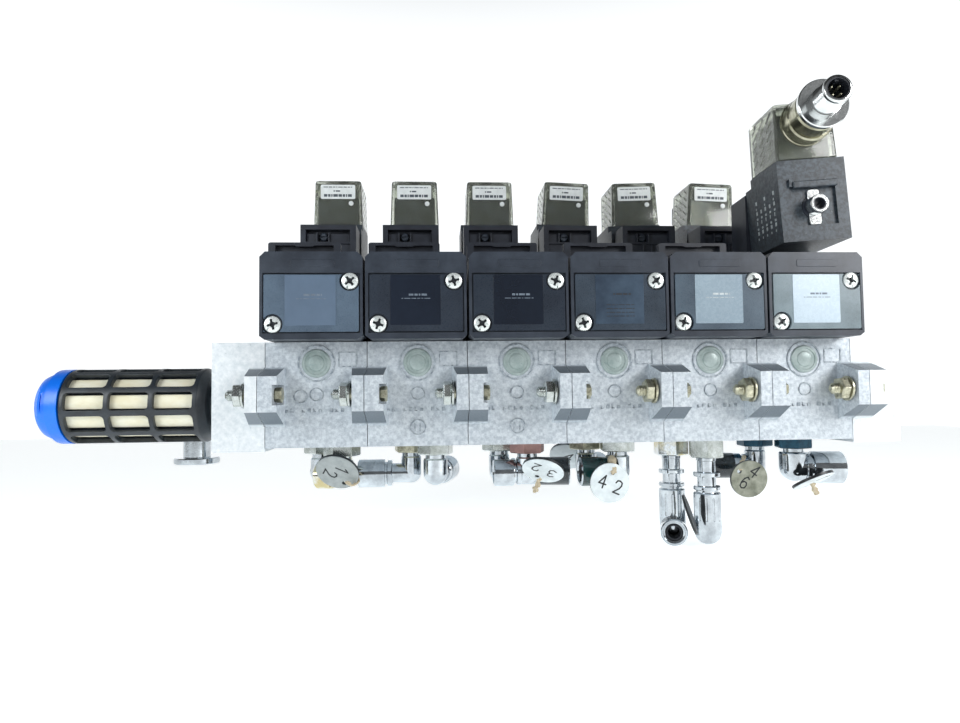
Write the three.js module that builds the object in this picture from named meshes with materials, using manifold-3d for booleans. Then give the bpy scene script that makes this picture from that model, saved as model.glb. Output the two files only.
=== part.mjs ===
// Pneumatic valve manifold: six solenoid directional valves on modular sub-bases.
// Millimetres. X runs along the manifold, Y from the front to the back, +Z up.
// The origin is the middle of the manifold on the plane that the end plates' feet stand on.

import * as THREE from 'three';
import { mergeVertices } from 'three/addons/utils/BufferGeometryUtils.js';
import Module from 'manifold-3d';

const wasm = await Module();
wasm.setup();

// ---- Driving dimensions ----
const VALVES = 6;
const PITCH = 43;                 // width of one sub-base, ISO 5599-1 size 1
const GAP = 0.3;                  // clearance between touching pieces
const BASE_DEPTH = 110;
const BASE_BOTTOM = 1.5;
const BASE_TOP = 46.4;
const END_PLATE = 22;             // thickness of an end plate
const GALLERY_Z = 20;
const GALLERY_R = 7;
const GALLERY_Y = [-38, 0, 38];   // exhaust 3, supply 1, exhaust 5
const PORTS = { a: { x: 7.2, y: -30 }, b: { x: -4.6, y: -15 } };   // from each base's middle
const PASSAGES = { a: { x: 5, y: -26 }, b: { x: -5, y: -13 } };     // ports up to the spool bore
const PORT_R = 6.4;
const PORT_TOP = 11;

const LUG = { reach: 13, zLow: 10, zHigh: 36, tipLow: 17, tipHigh: 31.7, nut: 6.5, head: 8.5 };
const BOLT_Z = 24;
const BOLT_Y = 62;
const BOLT_R = 3.2;

const CAP_FRONT = -66.7;
const CAP_DEPTH = 13.7;
const CAP_HALF = 21;
const CAP_TOP = 83;
const BODY_HALF = 20.5;
const BODY_TOP = 80.5;
const VALVE_BOTTOM = BASE_TOP + GAP;
const SPOOL_Z = 63;
const SPOOL_BORE_R = 8;

const PILOT_Y = 18;               // middle of a pilot head, in front of or behind the base's middle
const PILOT_X = 5.3;              // offset of a pilot head from its valve's middle
const HEAD = { half: 14.5, depth: 18, top: 14.9 };
const BUTTON_PLACE = new THREE.Vector3(-3, -HEAD.depth / 2 + 5.2, 9);   // in a pilot head
const REAR_AXIS_Z = 98.5;         // armature tube axis of the rear coils
const FRONT_AXIS_Z = 104.8;       // armature tube axis of the front coil
const FRONT_YAW = -3;             // degrees: the front pilot sits a little askew
const ADAPTOR_TURN = { x: 2, z: -3.5 };   // degrees: the adaptor leans up and to the left
const FRONT_ROLL = -3.8;          // degrees: the front coil is turned on its tube
const REAR_ROLLS = [0, 0, 0, 2.5, -2, 2];   // degrees: how far each rear coil is turned on its tube
const TUBE_R = 5;                 // armature tube inside the coil
const TUBE_TIP_R = 3.8;           // its end, which stands proud of the coil
const COIL = { half: 15.2, length: 34.3, low: -15.3, shoulder: 17.2, high: 21.2 };
const PLUG = { x: 1.5, half: 13.7, start: 16.5, length: 27.5, low: 21.5, high: 46.9, axis: 37.2 };

const PLATE_LEFT = -(VALVES * PITCH) / 2 - END_PLATE;   // outer face of the left end plate
const SILENCER = { y: -38, z: 20, r: 16.3, end: -226.2, rim: -214.4, shoulder: -157 };
const FITTING_Z = -14.5;          // height of the elbow outlets below the bases

// ---- Materials ----
const material = (color, roughness, metalness) =>
  new THREE.MeshStandardMaterial({ color, roughness, metalness });
const castAluminium = material(0xb9bec4, 0.5, 0.9);
const endPlateAluminium = material(0xd2d5d8, 0.45, 0.9);
const blackPlastic = material(0x252b36, 0.5, 0);
const coilPlastic = material(0x1d212a, 0.55, 0);
const smokyPlastic = material(0x6f7468, 0.25, 0);
const spoolSteel = material(0xc4c7ca, 0.25, 1);
const chromePlate = material(0xd5d8da, 0.15, 1);
const bluePlastic = material(0x1483ee, 0.4, 0);
const creamFelt = material(0xe2dcc0, 0.9, 0);
const buttonPlastic = material(0x2f6fb0, 0.45, 0);

// ---- Solids ----
function toSolid(geometry) {
  const bare = geometry.index ? geometry.toNonIndexed() : geometry.clone();
  bare.deleteAttribute('normal');
  bare.deleteAttribute('uv');
  const merged = mergeVertices(bare, 1e-4);
  return new wasm.Manifold(new wasm.Mesh({
    numProp: 3,
    vertProperties: new Float32Array(merged.attributes.position.array),
    triVerts: new Uint32Array(merged.index.array),
  }));
}

function toGeometry(solid) {
  const mesh = solid.getMesh();
  const geometry = new THREE.BufferGeometry();
  geometry.setAttribute('position', new THREE.BufferAttribute(mesh.vertProperties, 3));
  geometry.setIndex(new THREE.BufferAttribute(mesh.triVerts, 1));
  geometry.computeVertexNormals();
  return geometry;
}

const join = (...solids) => solids.reduce((sum, solid) => sum.add(solid));
const cut = (solid, ...tools) => tools.reduce((rest, tool) => rest.subtract(tool), solid);

// A box between two corners.
function block(x0, x1, y0, y1, z0, z1) {
  const geometry = new THREE.BoxGeometry(x1 - x0, y1 - y0, z1 - z0);
  geometry.translate((x0 + x1) / 2, (y0 + y1) / 2, (z0 + z1) / 2);
  return toSolid(geometry);
}

// Turns a shape made along +Y so that it lies along the named axis.
function alongAxis(geometry, axis) {
  if (axis === 'x') geometry.rotateZ(-Math.PI / 2);
  if (axis === 'z') geometry.rotateX(Math.PI / 2);
  return geometry;
}

// A rod along an axis from one end to the other, centred on the two other coordinates.
function rod(axis, radius, start, end, [first, second], sides = 12) {
  const geometry = new THREE.CylinderGeometry(radius, radius, end - start, sides);
  alongAxis(geometry, axis);
  const middle = (start + end) / 2;
  if (axis === 'x') geometry.translate(middle, first, second);
  if (axis === 'y') geometry.translate(first, middle, second);
  if (axis === 'z') geometry.translate(first, second, middle);
  return toSolid(geometry);
}

// A turned piece about +Y: its profile is a list of [radius, height] points.
function turned(profile, sides = 14) {
  const points = profile.map(([radius, height]) => new THREE.Vector2(radius, height));
  return new THREE.LatheGeometry(points, sides);
}

// An outline in X and Z, swept along Y from y0 to y1.
function sweptOutline(points, y0, y1) {
  const shape = new THREE.Shape(points.map(([x, z]) => new THREE.Vector2(x, z)));
  const geometry = new THREE.ExtrudeGeometry(shape, { depth: y1 - y0, bevelEnabled: false });
  geometry.rotateX(Math.PI / 2);
  geometry.translate(0, y1, 0);
  return toSolid(geometry);
}

const parts = new THREE.Group();

function addPart(parent, name, shape, surface) {
  const geometry = shape.isBufferGeometry ? shape : toGeometry(shape);
  const mesh = new THREE.Mesh(geometry, surface);
  mesh.name = name;
  parent.add(mesh);
  return mesh;
}

function groupAt(parent, x, y, z) {
  const group = new THREE.Group();
  group.position.set(x, y, z);
  parent.add(group);
  return group;
}

// ---- Sub-bases and end plates ----

// Half of a clamping lug on a joint at x = joint. side -1 carries the nut, +1 the bolt head.
// face is -1 on the front of the base and +1 on the back.
function halfLug(joint, side, face) {
  const width = side < 0 ? LUG.nut : LUG.head;
  const tipWidth = width - (side < 0 ? 1.5 : 0.6);
  const root = BASE_DEPTH / 2 - 1;
  const geometry = new THREE.BoxGeometry(1, 1, 1);
  const corners = geometry.attributes.position;
  for (let i = 0; i < corners.count; i++) {
    const outer = corners.getX(i) > 0;
    const tip = corners.getY(i) > 0;
    const high = corners.getZ(i) > 0;
    const reachX = tip ? tipWidth : width;
    const highZ = tip ? LUG.tipHigh : LUG.zHigh;
    const lowZ = tip ? LUG.tipLow : LUG.zLow;
    const y = tip ? BASE_DEPTH / 2 + LUG.reach : root;
    corners.setXYZ(i, outer ? reachX : GAP / 2, y, high ? highZ : lowZ);
  }
  const placed = toSolid(geometry).transform(mirrored(side, face, joint));
  const tools = [rod('x', BOLT_R, joint - 12, joint + 12, [face * BOLT_Y, BOLT_Z], 8)];
  if (side > 0) {
    const near = face * (BOLT_Y - 5);
    const far = face * (BOLT_Y + 8);
    tools.push(block(joint + 6, joint + 12, Math.min(near, far), Math.max(near, far), 19.9, 28.1));
  }
  return cut(placed, ...tools);
}

// Column-major transform that mirrors X and Y by sign and then shifts X.
function mirrored(signX, signY, shiftX) {
  return [signX, 0, 0, 0, 0, signY, 0, 0, 0, 0, 1, 0, shiftX, 0, 0, 1];
}

function lugPair(joint, side) {
  return join(halfLug(joint, side, -1), halfLug(joint, side, 1));
}

function manifoldBase() {
  const half = PITCH / 2 - GAP / 2;
  const depth = BASE_DEPTH / 2;
  const body = join(
    block(-half, half, -depth, depth, BASE_BOTTOM, BASE_TOP),
    lugPair(-PITCH / 2, 1),
    lugPair(PITCH / 2, -1),
  );
  const tools = [];
  for (const y of GALLERY_Y) {
    tools.push(rod('x', GALLERY_R, -PITCH, PITCH, [y, GALLERY_Z]));
    tools.push(rod('z', 3, GALLERY_Z, BASE_TOP + 5, [0, y], 8));
  }
  for (const key of Object.keys(PORTS)) {
    tools.push(rod('z', PORT_R, BASE_BOTTOM - 5, PORT_TOP, [PORTS[key].x, PORTS[key].y]));
    tools.push(rod('z', 2.2, PORT_TOP - 1, BASE_TOP + 5, [PASSAGES[key].x, PASSAGES[key].y], 6));
  }
  return cut(body, ...tools);
}

function endPlate(side) {
  const inner = (VALVES * PITCH) / 2 + GAP / 2;
  const outer = inner + END_PLATE;
  const depth = BASE_DEPTH / 2;
  const x0 = side < 0 ? -outer : inner;
  const plate = block(x0, x0 + END_PLATE, -depth, depth, 0, BASE_TOP);
  const body = join(plate, lugPair((side * VALVES * PITCH) / 2, side));
  if (side > 0) return body;
  const ports = GALLERY_Y.slice(0, 2).map((y) =>
    rod('x', GALLERY_R, x0 - 5, x0 + END_PLATE + 5, [y, GALLERY_Z]));
  return cut(body, ...ports);
}

// ---- Valves ----

// Cross-section of a cap: a box with its top corners cut off and its foot drawn in.
function capOutline(half, top, corner) {
  return [
    [-half + 2, VALVE_BOTTOM], [half - 2, VALVE_BOTTOM], [half, VALVE_BOTTOM + 1.5],
    [half, top - corner], [half - corner, top], [-half + corner, top],
    [-half, top - corner], [-half, VALVE_BOTTOM + 1.5],
  ];
}

function endCap() {
  const back = CAP_FRONT + CAP_DEPTH;
  const shell = sweptOutline(capOutline(CAP_HALF, CAP_TOP, 2.2), CAP_FRONT, back);
  const coverSeat = block(-19.7, 19.9, CAP_FRONT - 2, CAP_FRONT + 1.2, 49.2, 74.1);
  const pistonBore = rod('y', SPOOL_BORE_R, back - 7, back + 5, [0, SPOOL_Z]);
  return cut(shell, coverSeat, pistonBore);
}

// Pilot head about its armature tube's axis, standing on the valve and facing -Y.
// foot is how far the head reaches below the axis, widening how much broader it is on its +X side.
function pilotHead(foot, widening = 0) {
  const { half, depth, top } = HEAD;
  const box = block(-half, half + widening, -depth / 2, depth / 2, -foot, top);
  const window = block(-half + 2.7, half - 3.2, -depth / 2 - 2, -depth / 2 + 5, 5.8, top - 2.6);
  const sill = block(-half + 2.7, half - 3.2, -depth / 2 - 2, -depth / 2 + 1, -2, 5);
  const buttonHole = rod('y', 2.6, -depth / 2, -depth / 2 + 9, [-3, 9], 14);
  const coilEnd = depth / 2 + COIL.length;
  const tube = rod('y', TUBE_R, depth / 2 - 1, coilEnd - 1, [0, 0]);
  const tubeTip = rod('y', TUBE_TIP_R, coilEnd - 2, coilEnd + 4.5, [0, 0]);
  const tipBore = rod('y', 2.4, coilEnd - 2, coilEnd + 9, [0, 0], 14);
  return cut(join(box, tube, tubeTip), window, sill, buttonHole, tipBore);
}

function valveBody() {
  const front = CAP_FRONT + CAP_DEPTH + GAP;
  const rearCapFront = -front;
  const housing = sweptOutline(capOutline(BODY_HALF, BODY_TOP, 1.5), front, rearCapFront + 1);
  const rearCap = sweptOutline(capOutline(CAP_HALF, BODY_TOP, 2.2), rearCapFront, -CAP_FRONT);
  const head = pilotHead(REAR_AXIS_Z - BODY_TOP + 1).translate([-PILOT_X, PILOT_Y, REAR_AXIS_Z]);
  const tools = [rod('y', SPOOL_BORE_R, front - 5, 44, [0, SPOOL_Z])];
  for (const y of GALLERY_Y) tools.push(rod('z', 3, BASE_TOP - 5, SPOOL_Z, [0, y], 8));
  for (const { x, y } of Object.values(PASSAGES)) {
    tools.push(rod('z', 2.2, BASE_TOP - 5, SPOOL_Z, [x, y], 6));
  }
  return cut(join(housing, rearCap, head), ...tools);
}

// Spool with four lands, turned about +Y.
function spool() {
  const land = SPOOL_BORE_R - 0.3;
  const neck = 4.5;
  const start = CAP_FRONT + CAP_DEPTH - 2;
  const end = 37;
  const lands = 4;
  const landLength = 8;
  const spacing = (end - start - landLength) / (lands - 1);
  const profile = [[0, start]];
  for (let i = 0; i < lands; i++) {
    const from = start + i * spacing;
    profile.push([land, from], [land, from + landLength]);
    if (i < lands - 1) profile.push([neck, from + landLength], [neck, from + spacing]);
  }
  profile.push([0, end]);
  return turned(profile, 10);
}

// ---- Coils and connectors, about the armature tube's axis, running towards +Y ----

function coil() {
  const start = HEAD.depth / 2 + GAP;
  const end = start + COIL.length - GAP;
  const { half, low, shoulder, high } = COIL;
  const body = join(
    block(-half, half, start, end, low, shoulder),
    block(-half, half, start + 6.5, end, shoulder - 1, high),
    block(-10.8, 10.8, end - 1, end + 1, 9, 12.4),
  );
  const pocket = block(-10, 10, end - 1.2, end + 3, -8.5, 9);
  const bore = rod('y', TUBE_R + GAP, start - 5, end + 5, [0, 0]);
  return cut(body, pocket, bore);
}

// A square plug that narrows a little towards its top, with the gland's threaded hub behind it.
function connector(hasGland) {
  const { x, half, start, length, low, high, axis } = PLUG;
  const geometry = new THREE.BoxGeometry(2 * half, length, high - low);
  geometry.translate(0, start + length / 2, (low + high) / 2);
  const corners = geometry.attributes.position;
  for (let i = 0; i < corners.count; i++) {
    if (corners.getZ(i) > (low + high) / 2) corners.setX(i, corners.getX(i) * 0.94);
  }
  geometry.translate(x, 0, 0);
  const back = start + length;
  const body = toSolid(geometry);
  if (!hasGland) return cut(body, rod('y', 6.3, back - 9, back + 5, [x, axis]));
  const hub = rod('y', 9.2, back - 1, back + 5, [x, axis]);
  const nut = rod('y', 10.4, back + 4, back + 14, [x, axis], 6);
  const dome = rod('y', 8.2, back + 13, back + 19, [x, axis]);
  return cut(join(body, hub, nut, dome), rod('y', 4.6, back - 8, back + 25, [x, axis]));
}

// Four-pin round plug that screws into connector 7, turned about +Y.
function m12Adaptor() {
  const depth = 8;
  const shell = toSolid(turned([
    [0, -7], [5.2, -7], [5.2, 1.1], [9.4, 1.1], [9.4, 6], [8.6, 7], [9.9, 8], [9.9, 15.5], [8.2, 16.5],
    [10.6, 17.5], [10.6, 19.6], [6.4, 19.6], [6.4, 22], [5.9, 22], [5.9, 31], [5.3, 32.4],
    [4.3, 32.4], [4.3, 32.4 - depth], [0, 32.4 - depth],
  ]));
  const pins = [45, 135, 225, 315].map((degrees) => {
    const angle = THREE.MathUtils.degToRad(degrees);
    const x = 2.4 * Math.cos(angle);
    const z = 2.4 * Math.sin(angle);
    return rod('y', 0.5, 32.4 - depth - 1, 32.4 - 2, [x, z], 8);
  });
  return join(shell, ...pins);
}

// Button in the pilot head's window, sliding along Y.
function overrideButton() {
  return toSolid(alongAxis(new THREE.CylinderGeometry(2.2, 2.2, 4, 14), 'y'));
}

// ---- Silencer, turned about X ----

function silencerBody() {
  const { r, rim, shoulder } = SILENCER;
  const wall = toSolid(alongAxis(turned([
    [r - 2.4, rim], [r, rim], [r, shoulder], [r - 3, shoulder + 2], [9, shoulder + 2],
    [9, PLATE_LEFT - 0.5], [6.6, PLATE_LEFT - 0.5], [6.6, PLATE_LEFT + 10], [4.4, PLATE_LEFT + 10],
    [4.4, shoulder - 1.5], [r - 2.4, shoulder - 1.5], [r - 2.4, rim],
  ], 18), 'x'));
  const rows = 10;
  const windows = [];
  for (let row = 0; row < rows; row++) {
    for (const x of [-204.2, -186, -167.8]) {
      const geometry = new THREE.BoxGeometry(16, 7.4, 10);
      geometry.translate(x, 0, r);
      geometry.rotateX(THREE.MathUtils.degToRad(82 + (row * 360) / rows));
      windows.push(toSolid(geometry));
    }
  }
  return cut(wall, ...windows);
}

function silencerElement() {
  const { r, rim, shoulder } = SILENCER;
  const outer = r - 2.4 - GAP;
  return alongAxis(turned([
    [outer - 4, rim + 0.5], [outer, rim + 0.5], [outer, shoulder - 2], [outer - 4, shoulder - 2],
    [outer - 4, rim + 0.5],
  ], 18), 'x');
}

function silencerCap() {
  const { r, end, rim } = SILENCER;
  const cap = toSolid(alongAxis(turned([
    [0, end + 0.8], [9.5, end], [12.6, end + 0.5], [14.2, end + 2.4], [14.6, end + 5.4], [r, end + 6.4],
    [r, rim - GAP], [r - 3, rim - GAP], [r - 3, end + 4.6], [0, end + 4.6],
  ], 18), 'x'));
  const notches = [0, 120, 240].map((degrees) => {
    const geometry = new THREE.BoxGeometry(3.2, 13, 8);
    geometry.translate(end + 2.4, 0, r + 0.2);
    geometry.rotateX(Math.PI / 2 + THREE.MathUtils.degToRad(degrees));
    return toSolid(geometry);
  });
  return cut(cap, ...notches);
}

// ---- Tube fittings ----

// The outlet barrel of an elbow, from its corner out along +X, with a tube socket in its end.
// It narrows to its neck over neckLength from the corner.
function outletBarrel(length, radius, neck, neckLength) {
  const socketR = 4.2;
  const socketDepth = 12;
  return toSolid(alongAxis(turned([
    [0, 0], [neck, 0], [neck, neckLength], [radius - 0.4, neckLength], [radius - 0.4, neckLength + 2.4],
    [radius - 1.2, neckLength + 2.6], [radius - 1.2, neckLength + 3.4], [radius, neckLength + 3.6],
    [radius, length], [socketR, length], [socketR, length - socketDepth], [0, length - socketDepth],
  ], 12), 'x'));
}

// An elbow about its own vertical swivel axis. The stem goes up into the port of the base.
// sections lists the stem's [radius, height] steps from the corner upwards.
function elbow({ cornerZ, cornerR, sections, barrel }) {
  const stemTop = PORT_TOP - 3;
  const profile = [[0, cornerZ], ...sections, [4.6, stemTop], [0, stemTop]];
  const stemGeometry = turned(profile, 12);
  stemGeometry.rotateX(Math.PI / 2);
  const corner = new THREE.SphereGeometry(cornerR, 12, 6);
  corner.translate(0, 0, cornerZ);
  return join(toSolid(stemGeometry), toSolid(corner), barrel.translate([0, 0, cornerZ]));
}

function shortElbow(cornerR, barrel, cornerZ = FITTING_Z) {
  return elbow({ cornerZ, cornerR, sections: [[cornerR, cornerZ], [cornerR, -6.2], [4.6, -6.2]], barrel });
}

// A tall fitting: two collars and a fluted sleeve above its elbow.
function riserElbow(cornerZ, barrel) {
  const sections = [
    [6.3, cornerZ], [6.3, -24.5], [5, -24.5], [5, -23.4], [6.2, -23.4], [6.2, -21.6], [4.3, -21.6],
    [4.3, -17], [6.2, -17], [6.2, -15], [4.3, -15], [4.3, -9.8],
  ];
  return elbow({ cornerZ, cornerR: 6.3, sections, barrel });
}

// The fittings under the bases. heading is the outlet's direction, degrees about +Z from +X.
const FITTINGS = [
  { valve: 2, port: 'a', heading: 75, cornerR: 5.6, cornerZ: -13.2, outlet: [23, 6.2, 5, 7] },
  { valve: 2, port: 'b', heading: 180, cornerR: 4.9, outlet: [25.5, 6.7, 4.7, 9] },
  { valve: 3, port: 'b', heading: -9, cornerR: 5, outlet: [34.2, 6.7, 5, 5.5] },
  { valve: 4, port: 'a', heading: 180, cornerR: 5.6, cornerZ: -13.8, outlet: [18.4, 6.7, 5, 1] },
  { valve: 5, port: 'a', heading: 65, riser: -43, outlet: [20, 6.2, 5, 5] },
  { valve: 5, port: 'b', heading: -107, riser: -43.5, outlet: [15.5, 6.3, 5, 1] },
  { valve: 6, port: 'a', heading: -8, cornerR: 6.6, cornerZ: -13.8, outlet: [22, 7.7, 6.4, 4] },
];

function fitting({ cornerR, cornerZ, riser, outlet }) {
  const barrel = outletBarrel(...outlet);
  return riser ? riserElbow(riser, barrel) : shortElbow(cornerR, barrel, cornerZ);
}

// Elbow on the left end plate, about the supply port's axis: out along -X, then down.
function supplyElbow() {
  const cornerX = -176.2;
  const run = toSolid(alongAxis(turned([
    [0, cornerX], [6.2, cornerX], [6.2, PLATE_LEFT - 8], [9.5, PLATE_LEFT - 8],
    [9.5, PLATE_LEFT - 0.5], [6.6, PLATE_LEFT - 0.5], [6.6, PLATE_LEFT + 10], [0, PLATE_LEFT + 10],
  ]), 'x'));
  const dropGeometry = turned([
    [0, 0], [6.4, 0], [6.4, 26.5], [10.8, 26.5], [10.8, 29.5], [5, 29.5], [5, 17], [0, 17],
  ]);
  dropGeometry.rotateX(-Math.PI / 2);
  dropGeometry.translate(cornerX, 0, 0);
  const corner = new THREE.SphereGeometry(6.6, 12, 6);
  corner.translate(cornerX, 0, 0);
  return join(run, toSolid(dropGeometry), toSolid(corner));
}

// ---- Assembly ----

const valveX = (number) => (number - (VALVES + 1) / 2) * PITCH;

addPart(parts, 'end_plate_left', endPlate(-1), endPlateAluminium);
addPart(parts, 'end_plate_right', endPlate(1), endPlateAluminium);

for (let number = 1; number <= VALVES; number++) {
  const station = groupAt(parts, valveX(number), 0, 0);
  addPart(station, `manifold_base_${number}`, manifoldBase(), castAluminium);
  addPart(station, `valve_body_${number}`, valveBody(), blackPlastic);
  addPart(station, `end_cap_${number}`, endCap(), blackPlastic);
  addPart(groupAt(station, 0, 0, SPOOL_Z), `spool_${number}`, spool(), spoolSteel);

  const pilot = groupAt(station, -PILOT_X, PILOT_Y, REAR_AXIS_Z);
  addPart(pilot, `override_button_${number}`, overrideButton(), buttonPlastic).position.copy(BUTTON_PLACE);
  const turnedCoil = groupAt(pilot, 0, 0, 0);
  turnedCoil.rotation.y = THREE.MathUtils.degToRad(REAR_ROLLS[number - 1]);
  addPart(turnedCoil, `coil_${number}`, coil(), coilPlastic);
  addPart(turnedCoil, `connector_${number}`, connector(true), smokyPlastic);
}

// The second pilot of valve 6 faces the front: the same pieces, turned half round.
const frontPilot = groupAt(parts, valveX(VALVES) + PILOT_X + 0.8, -PILOT_Y, FRONT_AXIS_Z);
frontPilot.rotation.z = THREE.MathUtils.degToRad(180 + FRONT_YAW);
addPart(frontPilot, 'front_pilot_head', pilotHead(FRONT_AXIS_Z - BODY_TOP - GAP, 2), blackPlastic);
addPart(frontPilot, 'override_button_7', overrideButton(), buttonPlastic).position.copy(BUTTON_PLACE);
const frontCoil = groupAt(frontPilot, 0, 0, 0);
frontCoil.rotation.y = THREE.MathUtils.degToRad(-FRONT_ROLL);
addPart(frontCoil, 'coil_7', coil(), coilPlastic);
addPart(frontCoil, 'connector_7', connector(false), smokyPlastic);
const adaptorSeat = groupAt(frontCoil, PLUG.x, PLUG.start + PLUG.length, PLUG.axis);
adaptorSeat.rotation.x = THREE.MathUtils.degToRad(ADAPTOR_TURN.x);
adaptorSeat.rotation.z = THREE.MathUtils.degToRad(ADAPTOR_TURN.z);
addPart(adaptorSeat, 'm12_adaptor', m12Adaptor(), chromePlate);

const silencer = groupAt(parts, 0, SILENCER.y, SILENCER.z);
addPart(silencer, 'silencer_body', silencerBody(), blackPlastic);
addPart(silencer, 'silencer_element', silencerElement(), creamFelt);
addPart(silencer, 'silencer_cap', silencerCap(), bluePlastic);

addPart(groupAt(parts, 0, 0, GALLERY_Z), 'supply_elbow', supplyElbow(), chromePlate);

for (const entry of FITTINGS) {
  const place = PORTS[entry.port];
  const swivel = groupAt(parts, valveX(entry.valve) + place.x, place.y, 0);
  swivel.rotation.z = THREE.MathUtils.degToRad(entry.heading);
  addPart(swivel, `elbow_${entry.valve}${entry.port}`, fitting(entry), chromePlate);
}

export default parts;
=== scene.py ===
"""Looks of a pneumatic valve manifold: six solenoid valves on modular sub-bases.

Shapes are made in millimetres, in the frame of the CAD model: X along the row, Y from front
to back, +Z up. place() turns them into metres.
"""

import bpy
import bmesh
import math
from mathutils import Matrix, Vector


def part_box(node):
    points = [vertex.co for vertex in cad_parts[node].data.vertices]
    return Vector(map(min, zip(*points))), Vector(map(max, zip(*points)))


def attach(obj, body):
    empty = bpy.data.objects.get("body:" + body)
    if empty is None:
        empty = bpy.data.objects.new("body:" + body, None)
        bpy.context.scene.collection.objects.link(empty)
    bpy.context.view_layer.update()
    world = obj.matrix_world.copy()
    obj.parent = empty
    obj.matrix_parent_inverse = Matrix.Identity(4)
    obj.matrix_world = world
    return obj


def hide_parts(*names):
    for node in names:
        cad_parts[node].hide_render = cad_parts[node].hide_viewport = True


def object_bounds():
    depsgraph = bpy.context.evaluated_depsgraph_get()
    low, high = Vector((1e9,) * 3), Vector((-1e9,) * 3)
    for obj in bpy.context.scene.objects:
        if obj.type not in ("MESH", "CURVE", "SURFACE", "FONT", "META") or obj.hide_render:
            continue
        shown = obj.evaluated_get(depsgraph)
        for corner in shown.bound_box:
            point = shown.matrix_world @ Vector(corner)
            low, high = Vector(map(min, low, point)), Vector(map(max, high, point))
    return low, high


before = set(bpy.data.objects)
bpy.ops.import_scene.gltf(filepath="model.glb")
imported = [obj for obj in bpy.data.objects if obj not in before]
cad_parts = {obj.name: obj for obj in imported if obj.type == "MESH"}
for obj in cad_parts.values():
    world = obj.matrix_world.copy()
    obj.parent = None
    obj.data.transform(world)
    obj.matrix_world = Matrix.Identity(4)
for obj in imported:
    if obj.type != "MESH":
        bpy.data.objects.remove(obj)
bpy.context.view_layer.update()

MM = 0.001
VALVES = range(1, 7)
SCENE = bpy.context.scene


def box_mm(node):
    """Lowest and highest corner of a CAD node in millimetres."""
    low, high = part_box(node)
    return low / MM, high / MM


def middle_x(node):
    low, high = box_mm(node)
    return (low.x + high.x) / 2


# ---- Where things are, from the CAD model ----
STATION = {n: middle_x(f"valve_body_{n}") for n in VALVES}
PITCH = STATION[2] - STATION[1]
JOINTS = [STATION[1] - PITCH / 2 + PITCH * k for k in range(7)]
CAP_LOW, CAP_HIGH = box_mm("end_cap_1")
BASE_LOW, BASE_HIGH = box_mm("manifold_base_1")
BASE_FRONT = BASE_LOW.y + 13          # the lugs stand this far in front of the base
PORT_A = Vector((7.2, -30, 0))
PORT_B = Vector((-4.6, -15, 0))
BOLT_Y, BOLT_Z = 62, 24
SEAL_Z = 37.3                         # height of the round sealing plugs in the bases' fronts


# ---- Solids: lists of (vertices, faces) ----
def block(x0, x1, y0, y1, z0, z1):
    points = [(x, y, z) for x in (x0, x1) for y in (y0, y1) for z in (z0, z1)]
    sides = [(0, 1, 3, 2), (4, 6, 7, 5), (0, 4, 5, 1), (2, 3, 7, 6), (0, 2, 6, 4), (1, 5, 7, 3)]
    return points, sides


def on_axis(axis, along, first, second):
    """The point with one coordinate along the axis and the other two in order."""
    if axis == "x":
        return (along, first, second)
    if axis == "y":
        return (first, along, second)
    return (first, second, along)


def lathe(profile, axis="z", sides=48, centre=(0, 0), turn=0.0):
    """A body turned about an axis, from a list of (radius, height) that starts and ends at radius 0,
    or that comes back to where it started."""
    closed = profile[0] == profile[-1]
    rings, points, faces = [], [], []
    for radius, height in profile[:-1] if closed else profile:
        if radius < 1e-6:
            rings.append([len(points)])
            points.append(on_axis(axis, height, *centre))
            continue
        rings.append([len(points) + k for k in range(sides)])
        for k in range(sides):
            angle = turn + 2 * math.pi * k / sides
            points.append(
                on_axis(
                    axis, height, centre[0] + radius * math.cos(angle),
                    centre[1] + radius * math.sin(angle)))
    pairs = list(zip(rings, rings[1:]))
    if closed:
        pairs.append((rings[-1], rings[0]))
    for low, high in pairs:
        for k in range(sides):
            after = (k + 1) % sides
            if len(low) == 1 and len(high) > 1:
                faces.append((low[0], high[k], high[after]))
            elif len(high) == 1 and len(low) > 1:
                faces.append((low[k], low[after], high[0]))
            elif len(low) > 1:
                faces.append((low[k], low[after], high[after], high[k]))
    return points, faces


def rod(axis, radius, start, end, centre=(0, 0), sides=32, turn=0.0):
    return lathe([(0, start), (radius, start), (radius, end), (0, end)], axis, sides, centre, turn)


def ring(axis, inner, outer, start, end, centre=(0, 0), sides=48, turn=0.0):
    profile = [(inner, start), (outer, start), (outer, end), (inner, end), (inner, start)]
    return lathe(profile, axis, sides, centre, turn)


def hexagon(axis, flats, start, end, centre=(0, 0), turn=0.0, chamfer=0.5):
    """A hexagon nut or head with chamfered ends."""
    radius = flats / math.sqrt(3)
    small = radius - chamfer
    profile = [
        (0, start), (small, start), (radius, start + chamfer * 0.6), (radius, end - chamfer * 0.6),
        (small, end), (0, end)]
    return lathe(profile, axis, 6, centre, turn)


def prism(outline, axis, start, end):
    """An outline in the two other coordinates, carried along an axis."""
    count = len(outline)
    points = [on_axis(axis, along, *point) for along in (start, end) for point in outline]
    faces = [tuple(range(count)), tuple(range(count, 2 * count))]
    faces += [(k, (k + 1) % count, count + (k + 1) % count, count + k) for k in range(count)]
    return points, faces


def round_rect(x0, x1, y0, y1, radius, steps=5):
    """Outline of a rectangle with round corners."""
    outline = []
    for cx, cy, start in [
            (x1 - radius, y1 - radius, 0), (x0 + radius, y1 - radius, 90),
            (x0 + radius, y0 + radius, 180), (x1 - radius, y0 + radius, 270)]:
        for k in range(steps + 1):
            angle = math.radians(start + 90 * k / steps)
            outline.append((cx + radius * math.cos(angle), cy + radius * math.sin(angle)))
    return outline


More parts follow.
